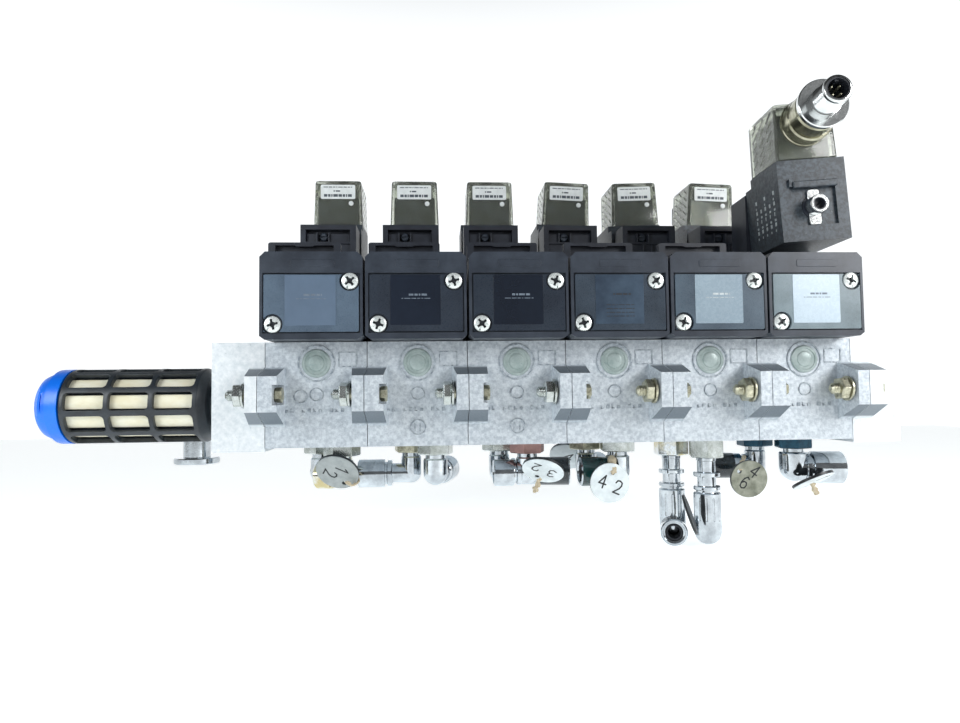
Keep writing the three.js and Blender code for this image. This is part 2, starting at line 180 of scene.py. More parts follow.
def pipe(path, radius, sides=10):
    """A round bar along a path of points, closed at both ends."""
    path = [Vector(p) for p in path]
    points, faces = [], []
    side = None
    for k, centre in enumerate(path):
        ahead = (path[min(k + 1, len(path) - 1)] - path[max(k - 1, 0)]).normalized()
        if side is None:
            side = ahead.orthogonal().normalized()
        side = (side - ahead * side.dot(ahead)).normalized()
        other = ahead.cross(side)
        for s in range(sides):
            angle = 2 * math.pi * s / sides
            points.append(tuple(centre + (side * math.cos(angle) + other * math.sin(angle)) * radius))
    for k in range(len(path) - 1):
        for s in range(sides):
            a, b = k * sides + s, k * sides + (s + 1) % sides
            faces.append((a, b, b + sides, a + sides))
    faces.append(tuple(range(sides)))
    faces.append(tuple(range(len(points) - sides, len(points))))
    return points, faces


def ball(radius, centre=(0, 0, 0), rings=12, sides=32):
    x, y, z = centre
    profile = []
    for k in range(rings + 1):
        angle = math.pi * k / rings
        profile.append((radius * math.sin(angle) if 0 < k < rings else 0, z - radius * math.cos(angle)))
    return lathe(profile, "z", sides, (x, y))


def moved(solid, matrix):
    points, faces = solid
    return [tuple(matrix @ Vector(p)) for p in points], faces


def shift(x, y, z):
    return Matrix.Translation((x, y, z))


def spin(axis, degrees):
    return Matrix.Rotation(math.radians(degrees), 4, axis)


def spin_about(axis, degrees, centre):
    """A turn about a line through the centre."""
    return shift(*centre) @ spin(axis, degrees) @ shift(*(-c for c in centre))


# ---- Meshes ----
def raw_mesh(name, solids):
    mesh = bpy.data.meshes.new(name)
    points, faces = [], []
    for solid_points, solid_faces in solids:
        start = len(points)
        points += [tuple(c * MM for c in p) for p in solid_points]
        faces += [[start + k for k in face] for face in solid_faces]
    mesh.from_pydata(points, [], faces)
    work = bmesh.new()
    work.from_mesh(mesh)
    bmesh.ops.recalc_face_normals(work, faces=work.faces)
    work.to_mesh(mesh)
    work.free()
    return mesh


def carve(mesh, cutters):
    """The mesh with the cutters' shapes taken out of it."""
    blank = bpy.data.objects.new("blank", mesh)
    tool = bpy.data.objects.new("tool", raw_mesh("tool", cutters))
    for item in (blank, tool):
        SCENE.collection.objects.link(item)
    step = blank.modifiers.new("cut", "BOOLEAN")
    step.object = tool
    step.solver = "EXACT"
    step.use_self = True
    ready = blank.evaluated_get(bpy.context.evaluated_depsgraph_get())
    carved = bpy.data.meshes.new_from_object(ready)
    bpy.data.objects.remove(blank)
    bpy.data.objects.remove(tool)
    return carved


def soften(mesh, degrees):
    """Smooth shading, with edges sharper than this left hard."""
    work = bmesh.new()
    work.from_mesh(mesh)
    for face in work.faces:
        face.smooth = True
    for edge in work.edges:
        edge.smooth = len(edge.link_faces) == 2 and edge.calc_face_angle(0) < math.radians(degrees)
    work.to_mesh(mesh)
    work.free()


def shape(name, solids, cuts=(), sharp=32):
    mesh = raw_mesh(name, solids)
    if cuts:
        mesh = carve(mesh, list(cuts))
    soften(mesh, sharp)
    return mesh


def bevel(obj, width, segments=2, degrees=34):
    step = obj.modifiers.new("edges", "BEVEL")
    step.width = width * MM
    step.segments = segments
    step.limit_method = "ANGLE"
    step.angle_limit = math.radians(degrees)
    step.harden_normals = True
    return step


def place(name, mesh, finish, at=Matrix(), body="manifold", slot=None, edge=0.0, stands_for=()):
    """A piece of the object: a copy of the mesh, put where the matrix (in millimetres) says."""
    where = at.copy()
    where.translation = where.translation * MM
    own = mesh.copy()
    own.name = name
    own.transform(where)
    own.materials.clear()
    own.materials.append(finish)
    obj = bpy.data.objects.new(name, own)
    SCENE.collection.objects.link(obj)
    if edge:
        bevel(obj, edge)
    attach(obj, body)
    if stands_for:
        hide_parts(*stands_for)
    return obj


def piece(name, solids, finish, cuts=(), sharp=32, **options):
    return place(name, shape(name, solids, cuts, sharp), finish, **options)


# ---- Materials ----
# Distance in metres from the block's middle, front or back, beyond which only the clamp lugs stand.
LUG_ROOT = 0.0565
GRAIN_DEPTH = 0.0002


def add_node(tree, kind, **inputs):
    """A shader node with constants on its sockets; _ stands for a space in a socket's name."""
    node = tree.nodes.new("ShaderNode" + kind)
    for socket, value in inputs.items():
        node.inputs[socket.replace("_", " ")].default_value = value
    return node


def math_node(tree, operation, *sources):
    node = add_node(tree, "Math")
    node.operation = operation
    for socket, source in zip(node.inputs, sources):
        tree.links.new(source, socket)
    return node.outputs["Value"]


def coordinate(tree, vector, axis):
    node = add_node(tree, "SeparateXYZ")
    tree.links.new(vector, node.inputs["Vector"])
    return node.outputs[axis]


def ramp(tree, source, start, end, at_start, at_end, blend="LINEAR"):
    """The source from start to end, mapped to what is wanted at both."""
    node = add_node(tree, "MapRange", From_Min=start, From_Max=end, To_Min=at_start, To_Max=at_end)
    node.interpolation_type = blend
    tree.links.new(source, node.inputs["Value"])
    return node.outputs["Result"]


def mix(tree, factor, first, second):
    """A blend of two colours, each one a constant or another node's output."""
    node = add_node(tree, "Mix")
    node.data_type = "RGBA"
    tree.links.new(factor, node.inputs["Factor"])
    for socket, value in ((node.inputs["A"], first), (node.inputs["B"], second)):
        if isinstance(value, tuple):
            socket.default_value = (*value, 1)
        else:
            tree.links.new(value, socket)
    return node.outputs["Result"]


def noise(tree, vector, scale, detail, roughness=0.55):
    node = add_node(tree, "TexNoise", Scale=scale, Detail=detail, Roughness=roughness)
    tree.links.new(vector, node.inputs["Vector"])
    return node.outputs["Fac"]


def lug_shade_mask(tree):
    """1 on the slopes of the clamp lugs, which face up or down and stand out beyond the block: where painted
    shade darkens them.
    """
    geometry = add_node(tree, "NewGeometry").outputs
    steepness = math_node(tree, "ABSOLUTE", coordinate(tree, geometry["Normal"], "Z"))
    depth = math_node(tree, "ABSOLUTE", coordinate(tree, geometry["Position"], "Y"))
    return math_node(
        tree, "MULTIPLY", ramp(tree, steepness, 0.25, 0.5, 0, 1),
        ramp(tree, depth, LUG_ROOT, LUG_ROOT + 0.0015, 0, 1))


def surface(
        name, light, dark, rough, metallic=0.0, blotch=140, contrast=0.5, grain=2600, bump=0.12,
        specks=None, stretch=(1, 1, 1), painted_lug_shade=None, **sockets):
    """A worn surface: two tones in soft blotches, fine grain in bump and gloss, and darker specks.

    specks is (colour, size, share), where a larger share leaves fewer of them. The colour for the clamp
    lugs' slopes is painted shade: it darkens the faces that turn up or down, away from the frontal light.
    """
    made = bpy.data.materials.new(name)
    made.use_nodes = True
    tree = made.node_tree
    shader = tree.nodes["Principled BSDF"]
    mapping = add_node(tree, "Mapping", Scale=stretch)
    tree.links.new(add_node(tree, "TexCoord").outputs["Object"], mapping.inputs["Vector"])
    where = mapping.outputs["Vector"]
    spread = 0.22 * (1 - contrast) + 0.03
    blotches = ramp(tree, noise(tree, where, blotch, 8, 0.62), 0.5 - spread, 0.5 + spread, 0, 1)
    colour = mix(tree, blotches, light, dark)
    if specks:
        tone, size, share = specks
        edge = 0.5 + share * 0.5
        colour = mix(tree, ramp(tree, noise(tree, where, size, 3), edge, edge + 0.06, 0, 1), colour, tone)
    # Painted shade: a darker colour on the lug slopes that face up or down.
    if painted_lug_shade:
        colour = mix(tree, lug_shade_mask(tree), colour, painted_lug_shade)
    tree.links.new(colour, shader.inputs["Base Color"])
    fine = noise(tree, where, grain, 4, 0.6)
    tree.links.new(ramp(tree, fine, 0.3, 0.7, *rough), shader.inputs["Roughness"])
    if bump:
        node = add_node(tree, "Bump", Strength=bump, Distance=GRAIN_DEPTH)
        tree.links.new(fine, node.inputs["Height"])
        tree.links.new(node.outputs["Normal"], shader.inputs["Normal"])
    shader.inputs["Metallic"].default_value = metallic
    for socket, value in sockets.items():
        shader.inputs[socket.replace("_", " ")].default_value = value
    return made


# The last colour is painted shade on the slopes of the clamp lugs.
cast = surface(
    "cast_aluminium", (0.66, 0.71, 0.75), (0.43, 0.48, 0.53), (0.40, 0.58), 0.35, blotch=700,
    contrast=0.55, grain=1500, bump=0.5, specks=((0.09, 0.10, 0.12), 1000, 0.385),
    painted_lug_shade=(0.15, 0.18, 0.21))
# A darker copy of the cast aluminium for the raised marks: painted shade that stands in for the dark contact
# lines around them.
shaded_mark_metal = surface(
    "cast_marks_shaded_metal", (0.50, 0.55, 0.59), (0.24, 0.28, 0.32), (0.45, 0.62), 0.35, blotch=560,
    contrast=0.7, grain=1500, bump=0.3, specks=((0.07, 0.08, 0.10), 900, 0.40))
# The last colour is painted shade on the slopes that stand out beyond the block's front and back.
plate_metal = surface(
    "end_plate_aluminium", (0.84, 0.87, 0.89), (0.66, 0.71, 0.74), (0.38, 0.55), 0.30, blotch=420,
    contrast=0.45, grain=1500, bump=0.25, specks=((0.34, 0.37, 0.40), 900, 0.42),
    painted_lug_shade=(0.20, 0.23, 0.26))
housing = surface(
    "housing_plastic", (0.030, 0.036, 0.050), (0.016, 0.019, 0.028), (0.34, 0.48), blotch=110, grain=3600,
    bump=0.10, specks=((0.075, 0.08, 0.09), 1500, 0.5))
cap_plastic = surface(
    "cap_plastic", (0.040, 0.050, 0.068), (0.020, 0.026, 0.038), (0.30, 0.44), blotch=90, grain=3600,
    bump=0.10, specks=((0.09, 0.10, 0.11), 1500, 0.5))
coil_plastic = surface(
    "coil_plastic", (0.050, 0.066, 0.082), (0.018, 0.024, 0.032), (0.34, 0.52), blotch=620, contrast=0.75,
    grain=1500, bump=0.32, specks=((0.15, 0.18, 0.20), 1400, 0.36))
# Dark plastic for inner parts and dark print, also used as painted shade in the cover screws' slots.
dark_plastic_and_shade = surface("dark_plastic", (0.016, 0.019, 0.026), (0.008, 0.010, 0.014), (0.4, 0.6), blotch=200)
button_finish = surface("button_plastic", (0.07, 0.09, 0.12), (0.03, 0.04, 0.06), (0.35, 0.5), blotch=800)
smoky = surface(
    "smoky_plastic", (0.80, 0.84, 0.78), (0.66, 0.68, 0.58), (0.08, 0.18), blotch=160, contrast=0.3,
    grain=1800, bump=0.08, specks=((0.34, 0.32, 0.20), 1200, 0.5), Transmission_Weight=0.93, IOR=1.45)
contact_block = surface(
    "contact_block", (0.050, 0.068, 0.076), (0.024, 0.034, 0.040), (0.3, 0.5), blotch=220)
paper = surface("label_paper", (0.86, 0.90, 0.90), (0.74, 0.78, 0.78), (0.4, 0.55), blotch=260, bump=0.03)
faint_ink = surface("faint_ink", (0.17, 0.21, 0.26), (0.11, 0.14, 0.18), (0.4, 0.6), blotch=600)
print_ink = surface("print_ink", (0.05, 0.07, 0.09), (0.10, 0.12, 0.14), (0.45, 0.6), blotch=900, bump=0)
white_ink = surface("white_ink", (0.60, 0.65, 0.66), (0.35, 0.38, 0.40), (0.45, 0.6), blotch=900, bump=0)
zinc = surface(
    "zinc_plated_steel", (0.62, 0.65, 0.64), (0.42, 0.45, 0.42), (0.16, 0.30), 0.9, blotch=300,
    grain=1800, bump=0.06, specks=((0.20, 0.20, 0.15), 800, 0.5))
screw_zinc = surface(
    "screw_zinc", (0.88, 0.92, 0.91), (0.74, 0.79, 0.77), (0.22, 0.36), 0.45, blotch=300, grain=1800,
    bump=0.06, specks=((0.34, 0.38, 0.35), 900, 0.52))
yellow_zinc = surface(
    "yellow_zinc_steel", (0.62, 0.60, 0.46), (0.34, 0.33, 0.24), (0.24, 0.42), 0.85, blotch=500,
    grain=2200, bump=0.15, specks=((0.10, 0.09, 0.05), 900, 0.30))
chrome = surface(
    "chrome_plate", (0.62, 0.66, 0.69), (0.38, 0.41, 0.44), (0.05, 0.16), 1.0, blotch=160, contrast=0.4,
    grain=1400, bump=0.05, specks=((0.30, 0.26, 0.16), 420, 0.46))
stained_chrome = surface(
    "stained_chrome", (0.72, 0.76, 0.78), (0.52, 0.45, 0.25), (0.08, 0.26), 1.0, blotch=110, contrast=0.7,
    grain=1400, bump=0.08, specks=((0.20, 0.15, 0.07), 500, 0.42))
aged_chrome = surface(
    "aged_chrome", (0.62, 0.66, 0.69), (0.38, 0.41, 0.44), (0.05, 0.18), 1.0, blotch=160, contrast=0.4,
    grain=1400, bump=0.05, specks=((0.46, 0.34, 0.12), 110, 0.43))
black_sleeve = surface(
    "black_sleeve", (0.020, 0.030, 0.036), (0.008, 0.012, 0.016), (0.12, 0.24), blotch=200, bump=0.04,
    Coat_Weight=0.4)
green_sleeve = surface(
    "green_sleeve", (0.010, 0.060, 0.056), (0.006, 0.020, 0.024), (0.12, 0.24), blotch=120, bump=0.04,
    Coat_Weight=0.4)
blue = surface(
    "blue_plastic", (0.003, 0.19, 0.92), (0.002, 0.15, 0.78), (0.26, 0.38), blotch=100, contrast=0.2,
    grain=3200, bump=0.06, specks=((0.01, 0.06, 0.30), 900, 0.5))
cage_plastic = surface(
    "silencer_cage", (0.026, 0.034, 0.042), (0.013, 0.017, 0.022), (0.30, 0.46), blotch=140, grain=2600,
    bump=0.12, specks=((0.08, 0.09, 0.10), 1100, 0.48))
felt = surface(
    "porous_element", (0.95, 0.93, 0.77), (0.84, 0.78, 0.56), (0.8, 0.95), blotch=150, contrast=0.45,
    grain=1500, bump=0.7, specks=((0.20, 0.14, 0.08), 420, 0.50), stretch=(0.5, 1, 1))
blue_stud = surface("blue_stud", (0.020, 0.085, 0.135), (0.012, 0.045, 0.075), (0.25, 0.4), 0.5, blotch=300)
red_stud = surface("reddish_stud", (0.46, 0.27, 0.24), (0.34, 0.20, 0.19), (0.3, 0.45), 0.6, blotch=300)
plug_rubber = surface(
    "plug_face", (0.40, 0.47, 0.46), (0.27, 0.34, 0.33), (0.24, 0.42), 0.15, blotch=260, grain=1800,
    bump=0.2, specks=((0.12, 0.13, 0.09), 700, 0.5))
tag_white = surface("tag_white", (0.74, 0.80, 0.82), (0.58, 0.64, 0.66), (0.35, 0.5), blotch=200, bump=0.05)
tag_grey = surface(
    "tag_grey", (0.36, 0.39, 0.39), (0.27, 0.30, 0.30), (0.35, 0.5), blotch=300, bump=0.05,
    specks=((0.16, 0.16, 0.14), 700, 0.5))
tag_aged = surface(
    "tag_aged", (0.30, 0.31, 0.25), (0.14, 0.15, 0.11), (0.4, 0.6), blotch=190, contrast=0.6, bump=0.2,
    specks=((0.05, 0.05, 0.03), 700, 0.4))
tag_core = surface("tag_core", (0.012, 0.015, 0.018), (0.006, 0.008, 0.010), (0.3, 0.45), blotch=300)
tie_string = surface(
    "tie_string", (0.58, 0.50, 0.36), (0.42, 0.35, 0.24), (0.6, 0.8), blotch=900, grain=3000, bump=0.5)
gold_ring = surface(
    "gold_chromate", (0.46, 0.45, 0.34), (0.24, 0.23, 0.16), (0.12, 0.26), 0.9, blotch=170, contrast=0.6,
    grain=1400, bump=0.06)
nickel = surface(
    "nickel_plate", (0.84, 0.86, 0.86), (0.66, 0.68, 0.68), (0.10, 0.22), 1.0, blotch=200, contrast=0.3,
    grain=1800, bump=0.05, specks=((0.3, 0.3, 0.26), 700, 0.48))
steel = surface("spool_steel", (0.66, 0.68, 0.70), (0.50, 0.52, 0.54), (0.2, 0.35), 1.0, blotch=300)


# ---- CAD nodes that keep their shape ----
def dress(node, finish, edge):
    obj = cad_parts[node]
    obj.data.materials.clear()
    obj.data.materials.append(finish)
    flat = obj.modifiers.new("flat faces", "DECIMATE")
    flat.decimate_type = "DISSOLVE"
    flat.angle_limit = math.radians(1)
    bevel(obj, edge)


for side in ("left", "right"):
    dress(f"end_plate_{side}", plate_metal, 0.5)
for n in VALVES:
    dress(f"manifold_base_{n}", cast, 0.45)
    dress(f"valve_body_{n}", housing, 0.45)
    dress(f"end_cap_{n}", cap_plastic, 0.5)
    dress(f"coil_{n}", coil_plastic, 0.6)
    dress(f"spool_{n}", steel, 0.15)
dress("coil_7", coil_plastic, 0.6)
dress("front_pilot_head", housing, 0.45)


# ---- Clamp bolts on the joints ----
def thread(axis, radius, start, end, centre, pitch=0.7):
    """A threaded end with a conical tip that points to the end."""
    way = 1 if end > start else -1
    profile = [(0, start), (radius, start)]
    turns = int(abs(end - start) / pitch) - 1
    for k in range(turns):
        at = start + way * pitch * (k + 0.5)
        profile += [(radius, at), (radius - 0.35, at + way * pitch * 0.5)]
    profile += [(radius - 0.2, end - way * 0.9), (radius - 1.1, end), (0, end)]
    return lathe(profile, axis, 32, centre)


HEAD_SEAT, NUT_SEAT = 6.2, 6.1        # from the joint to where the bolt's head and nut bear
BOLT_R = 2.6


def clamp_bolt(joint, face):
    """Hexagon head in the right-hand notch, washer and nut on the left."""
    centre = (face * BOLT_Y, BOLT_Z)
    seat = joint - NUT_SEAT
    head = hexagon("x", 5.6, joint + HEAD_SEAT, joint + HEAD_SEAT + 2.9, centre, math.pi / 6)
    shank = rod("x", BOLT_R, seat - 1, joint + HEAD_SEAT + 0.4, centre, 24)
    washer = ring("x", BOLT_R, 5.4, seat - 0.9, seat, centre, 40)
    nut = hexagon("x", 8.8, seat - 4.6, seat - 0.95, centre, 0.35 * math.sin(joint), 0.7)
    tail = thread("x", BOLT_R - 0.2, seat - 4.5, seat - 8.0, centre)
    return [head, shank], [washer, nut, tail]


for k, joint in enumerate(JOINTS, 1):
    for face, side in ((-1, "front"), (1, "rear")):
        head, nut = clamp_bolt(joint, face)
        piece(f"clamp_bolt_{side}_{k}", head, yellow_zinc, slot="spool_steel", edge=0.12)
        piece(f"clamp_nut_{side}_{k}", nut, zinc if k < 5 else yellow_zinc, slot="spool_steel", edge=0.12)


# ---- Details cast into the front of the bases ----
def frame_strip(x0, x1, z0, z1, width, front, back):
    outer = prism(round_rect(x0, x1, z0, z1, 0.5), "y", front, back)
    inner = prism(round_rect(x0 + width, x1 - width, z0 + width, z1 - width, 0.3), "y", front - 1, back + 1)
    return outer, inner


def cast_marks(n):
    """Raised ring, frame and a row of short bars, as a generic stand-in for cast lettering."""
    x = STATION[n]
    proud = BASE_FRONT - 0.5
    root = BASE_FRONT + 0.3
    solids = [
        ring("y", 7.2, 7.9, proud, root, (x, SEAL_Z), 56),
        ring("y", 2.5, 2.95, proud + 0.1, root, (x, 24), 32)]
    if n == 1:
        solids.append(ring("y", 2.5, 2.95, proud + 0.1, root, (x - 6.6, 23.2), 32))
    if n in (2, 3):
        solids.append(ring("y", 2.9, 3.4, proud + 0.1, root, (x, 9.5), 32))
        solids.append(block(x - 1.6, x - 1.1, proud + 0.1, root, 7.8, 11.2))
        solids.append(block(x + 0.6, x + 1.1, proud + 0.1, root, 7.8, 11.2))
    for k in range(11):
        start = x - 13.2 + k * 2.35
        if k in (2, 7):
            continue
        height = 1.7 if k % 3 else 1.2
        solids.append(
            block(start, start + (0.45 if k % 2 else 1.3), proud + 0.1, root, 16.4, 16.4 + height))
        if k % 2:
            solids.append(block(start, start + 1.2, proud + 0.1, root, 16.4, 16.85))
    return solids


def plug_face():
    """Round sealing plug with concentric steps, about its own middle on the base's face."""
    profile = [
        (0, 0.6), (6.1, 0.6), (6.1, -0.35), (5.7, -0.7), (4.9, -0.75), (4.7, -0.35), (3.5, -0.4),
        (3.2, -0.75), (2.4, -0.95), (1.2, -1.05), (0, -1.1)]
    return lathe(profile, "y", 56)


plug_mesh = shape("plug", [plug_face()], sharp=24)
for n in VALVES:
    # The marks and frames carry painted shade in their darker metal.
    piece(f"cast_marks_{n}", cast_marks(n), shaded_mark_metal, slot="cast_aluminium", edge=0.08)
    outer, inner = frame_strip(
        STATION[n] + 9.2, STATION[n] + 17.2, 35.6, 42.2, 0.55, BASE_FRONT - 0.3, BASE_FRONT + 0.3)
    piece(f"cast_frame_{n}", [outer], shaded_mark_metal, cuts=[inner], slot="cast_aluminium")
    place(
        f"port_plug_{n}", plug_mesh, plug_rubber, shift(STATION[n], BASE_FRONT, SEAL_Z),
        slot="cast_aluminium")


# ---- Valve caps: cover plates, labels, screws ----
COVER_FRONT = CAP_LOW.y - 0.35
# Left, right, bottom and top of the cover and its label, and the screws' places, about the station.
COVER = (-19.2, 19.4, 49.7, 73.4)
LABEL = (-10.7, 10.1, 52.3, 73.2)
SCREWS = ((15.7, 70.8), (-15.7, 52.9))
REAR_SCREWS = ((15, 73.5), (-15, 54))


def cross_screw(turn):
    """Round-headed cross-head screw about its own axis, its head facing -Y."""
    profile = [(0, 1.4), (3.45, 1.4), (3.55, 0.5), (3.3, -0.15), (2.6, -0.5), (1.3, -0.68), (0, -0.72)]
    slots = []
    for degrees in (turn, turn + 90):
        slots.append(moved(block(-2.3, 2.3, -1.6, 0.9, -0.52, 0.52), spin("Y", degrees)))
    hub = rod("y", 1.15, -1.5, 1.1, (0, 0), 16)
    nick = moved(block(2.3, 3.9, -1.2, 0.6, -0.3, 0.3), spin("Y", turn + 58))
    return [lathe(profile, "y", 44)], slots + [hub, nick]


def cover_plate():
    """Flat cover about x = 0, with round openings for its two screws."""
    plate = prism(round_rect(*COVER, 0.6), "y", COVER_FRONT, CAP_LOW.y + 1.15)
    wells = [rod("y", 4.25, COVER_FRONT - 1, CAP_LOW.y + 3, spot, 40) for spot in SCREWS]
    return [plate], wells


def print_lines(x0, x1, rows, front, back, seed, height=0.45):
    """Rows of short bars that stand for print."""
    bars = []
    for row, z in enumerate(rows):
        x = x0
        step = 0
        while x < x1 - 0.4:
            length = 0.7 + 0.6 * ((seed * 7 + row * 5 + step * 3) % 4)
            bars.append(block(x, min(x + length, x1), front, back, z, z + height))
            x += length + 0.45
            step += 1
    return bars


# Light tone, dark tone and gloss of the glossy printed foil on each valve. The labels differ in their own
# colour, and their tones also carry painted light: darkest at valves 2 and 3, lightest at valve 6.
FOILS = {
    1: ((0.115, 0.165, 0.235), (0.085, 0.125, 0.185), (0.30, 0.42)),
    2: ((0.012, 0.018, 0.032), (0.008, 0.012, 0.022), (0.16, 0.24)),
    3: ((0.010, 0.015, 0.026), (0.007, 0.010, 0.018), (0.16, 0.24)),
    4: ((0.070, 0.105, 0.150), (0.025, 0.038, 0.060), (0.16, 0.26)),
    5: ((0.290, 0.370, 0.430), (0.240, 0.310, 0.370), (0.22, 0.32)),
    6: ((0.520, 0.620, 0.700), (0.440, 0.540, 0.620), (0.22, 0.32)),
}
# Light and dark tone of the cover around it, with painted light in them: darkest at valves 2 and 3 in the
# middle, lighter towards both ends and lightest at valve 6, where the light is strongest.
LIT_COVER_TONES = {
    1: ((0.105, 0.150, 0.205), (0.060, 0.088, 0.125)),
    2: ((0.028, 0.038, 0.055), (0.018, 0.024, 0.036)),
    3: ((0.026, 0.036, 0.052), (0.016, 0.022, 0.034)),
    4: ((0.045, 0.062, 0.085), (0.024, 0.034, 0.048)),
    5: ((0.085, 0.120, 0.155), (0.045, 0.064, 0.088)),
    6: ((0.200, 0.260, 0.290), (0.110, 0.150, 0.170)),
}
cover_mesh = shape("cover", *cover_plate(), sharp=30)
screw_meshes = [shape(f"screw_{k}", *cross_screw(turn), sharp=28) for k, turn in enumerate((20, 52, 75))]
# Dark disc inside the screw head, seen through its cross slots and hub hole: painted shade at the bottom of
# the slots.
slot_shade_mesh = shape("screw_slot_shade", [rod("y", 2.5, 0.78, 1.2, (0, 0), 24)])
label_mesh = shape("label", [prism(round_rect(*LABEL, 0.5), "y", COVER_FRONT - 0.16, COVER_FRONT + 0.1)])
for n in VALVES:
    at = shift(STATION[n], 0, 0)
    # The foil's tones are partly its own colour and partly painted light that changes along the row.
    foil = surface(f"foil_{n}", *FOILS[n], blotch=45, contrast=0.2, grain=900, bump=0.02)
    # The cover's tones carry painted light that changes along the row.
    finish = surface(
        f"cover_plastic_{n}", *LIT_COVER_TONES[n], (0.24, 0.36), blotch=60, contrast=0.3, grain=3200,
        bump=0.06, specks=((0.16, 0.18, 0.19), 1100, 0.5))
    place(f"cap_cover_{n}", cover_mesh, finish, at, slot="cap_plastic", edge=0.25)
    place(f"cap_label_{n}", label_mesh, foil, at, slot="cap_plastic", edge=0.05)
    ink = {4: dark_plastic_and_shade, 5: white_ink}.get(n, faint_ink)
    x = STATION[n]
    rows = (64.5, 63.2) if n != 4 else (64.5, 60.2, 58.6, 57.0, 55.4)
    marks = print_lines(x - 3, x + 4.5, rows[:1], COVER_FRONT - 0.2, COVER_FRONT, n, 0.8)
    marks += print_lines(x - 6, x + 6, rows[1:], COVER_FRONT - 0.2, COVER_FRONT, n + 2, 0.3)
    piece(f"cap_print_{n}", marks, ink, slot="cap_plastic")
    bar = prism(round_rect(x - 8.5, x + 9.5, 76.7, 79.7, 0.7), "y", CAP_LOW.y - 0.18, CAP_LOW.y + 0.2)
    piece(f"cap_bar_{n}", [bar], cap_plastic, slot="cap_plastic", edge=0.12)
    for k, (dx, z) in enumerate(SCREWS):
        spot = shift(x + dx, COVER_FRONT + 0.6, z)
        place(f"cap_screw_{n}_{'ab'[k]}", screw_meshes[(n + k) % 3], screw_zinc, spot, slot="spool_steel")
        # Painted shade: a dark disc at the bottom of the screw's slots.
        place(f"cap_slot_shade_{n}_{'ab'[k]}", slot_shade_mesh, dark_plastic_and_shade, spot, slot="spool_steel")
    for k, (dx, z) in enumerate(REAR_SCREWS):
        spot = shift(x + dx, -CAP_LOW.y - 0.9, z) @ spin("Z", 180)
        place(
            f"rear_cap_screw_{n}_{'ab'[k]}", screw_meshes[(n + k + 1) % 3], screw_zinc, spot,
            slot="spool_steel")


# ---- Bridges between the caps and the pilots ----
def bridge(x):
    """Slotted clip on the valve's top edge, with a lower tab at its right."""
    front, back = CAP_HIGH.y + 0.5, CAP_HIGH.y + 4
    body = prism(round_rect(x - 21, x + 10, 80.2, 90, 1.0), "y", front, back)
    tab = prism(round_rect(x + 9, x + 17.5, 80.2, 85.9, 0.6), "y", front + 0.4, back)
    opening = [
        (x - 18, 84.2), (x + 7, 84.2), (x + 7, 88.7), (x - 1, 88.7), (x - 2, 88.2), (x - 9, 88.2),
        (x - 10, 88.7), (x - 18, 88.7)]
    slot_cut = prism(opening, "y", front - 1, front + 2.6)
    tab_cut = prism(round_rect(x + 10.6, x + 16, 83.2, 84.9, 0.3), "y", front - 1, front + 2.2)
    return [body, tab], [slot_cut, tab_cut]


for n in (1, 2, 3, 4, 5):
    solids, cuts = bridge(STATION[n])
    piece(f"cap_bridge_{n}", solids, housing, cuts=cuts, slot="valve_plastic", edge=0.12)


# ---- Pilots: where each one stands ----
REAR_ROLLS = (0, 0, 0, 2.5, -2, 2)
PILOT_AT = {n: shift(STATION[n] - 5.3, 18, 98.5) for n in VALVES}
PILOT_AT[7] = shift(113.6, -18, 104.8) @ spin("Z", 177)
COIL_AT = {n: PILOT_AT[n] @ spin("Y", REAR_ROLLS[n - 1]) for n in VALVES}
COIL_AT[7] = PILOT_AT[7] @ spin("Y", 3.8)

# Ribs in the recess of a pilot head, and its override button.
ribs = [
    block(-3.2, -2.5, -8.95, -7.6, -1.8, 4.6), block(1.4, 2.1, -8.95, -7.6, -1.8, 4.6),
    block(-11.6, 11.1, -8.6, -7.8, 4.6, 5.8), block(0.6, 11.0, -7.2, -4.2, 5.9, 10.4),
    block(-11.5, -6.6, -7.2, -4.2, 5.9, 10.4), block(-0.2, 0.5, -8.4, -4.2, 5.9, 10.9),
    block(-6.5, -5.8, -8.4, -4.2, 5.9, 10.9)]
ribs_mesh = shape("ribs", ribs)
# The CAD button: 4 mm long in a hole at (-3, 9), here with a screwdriver slot.
button_solids = [lathe([(0, -5.8), (1.7, -5.8), (2.2, -5.3), (2.2, -1.8), (0, -1.8)], "y", 36, (-3, 9))]
button_mesh = shape("button", button_solids, [block(-5, -1, -6.6, -5.0, 8.62, 9.38)])
for n in (*VALVES, 7):
    place(f"pilot_ribs_{n}", ribs_mesh, housing, PILOT_AT[n], slot="valve_plastic", edge=0.12)
    place(
        f"override_{n}", button_mesh, button_finish, PILOT_AT[n], body=f"override_button_{n}",
        slot="button_plastic", edge=0.08, stands_for=(f"override_button_{n}",))


# ---- Connectors ----
PLUG_X, PLUG_HALF = 1.5, 13.7         # middle and half width
PLUG_START, PLUG_END = 16.5, 44       # front and back
PLUG_LOW, PLUG_HIGH = 21.5, 46.9      # bottom and top
PLUG_AXIS = 37.2                      # height of the cable entry
NARROWING = 0.94                      # width at the top as a share of the width at the bottom


def tapered(solid):
    """A solid drawn towards the connector's middle as it rises."""
    points, faces = solid
    out = []
    for x, y, z in points:
        share = (z - PLUG_LOW) / (PLUG_HIGH - PLUG_LOW)
        out.append((PLUG_X + (x - PLUG_X) * (1 + (NARROWING - 1) * share), y, z))
    return out, faces


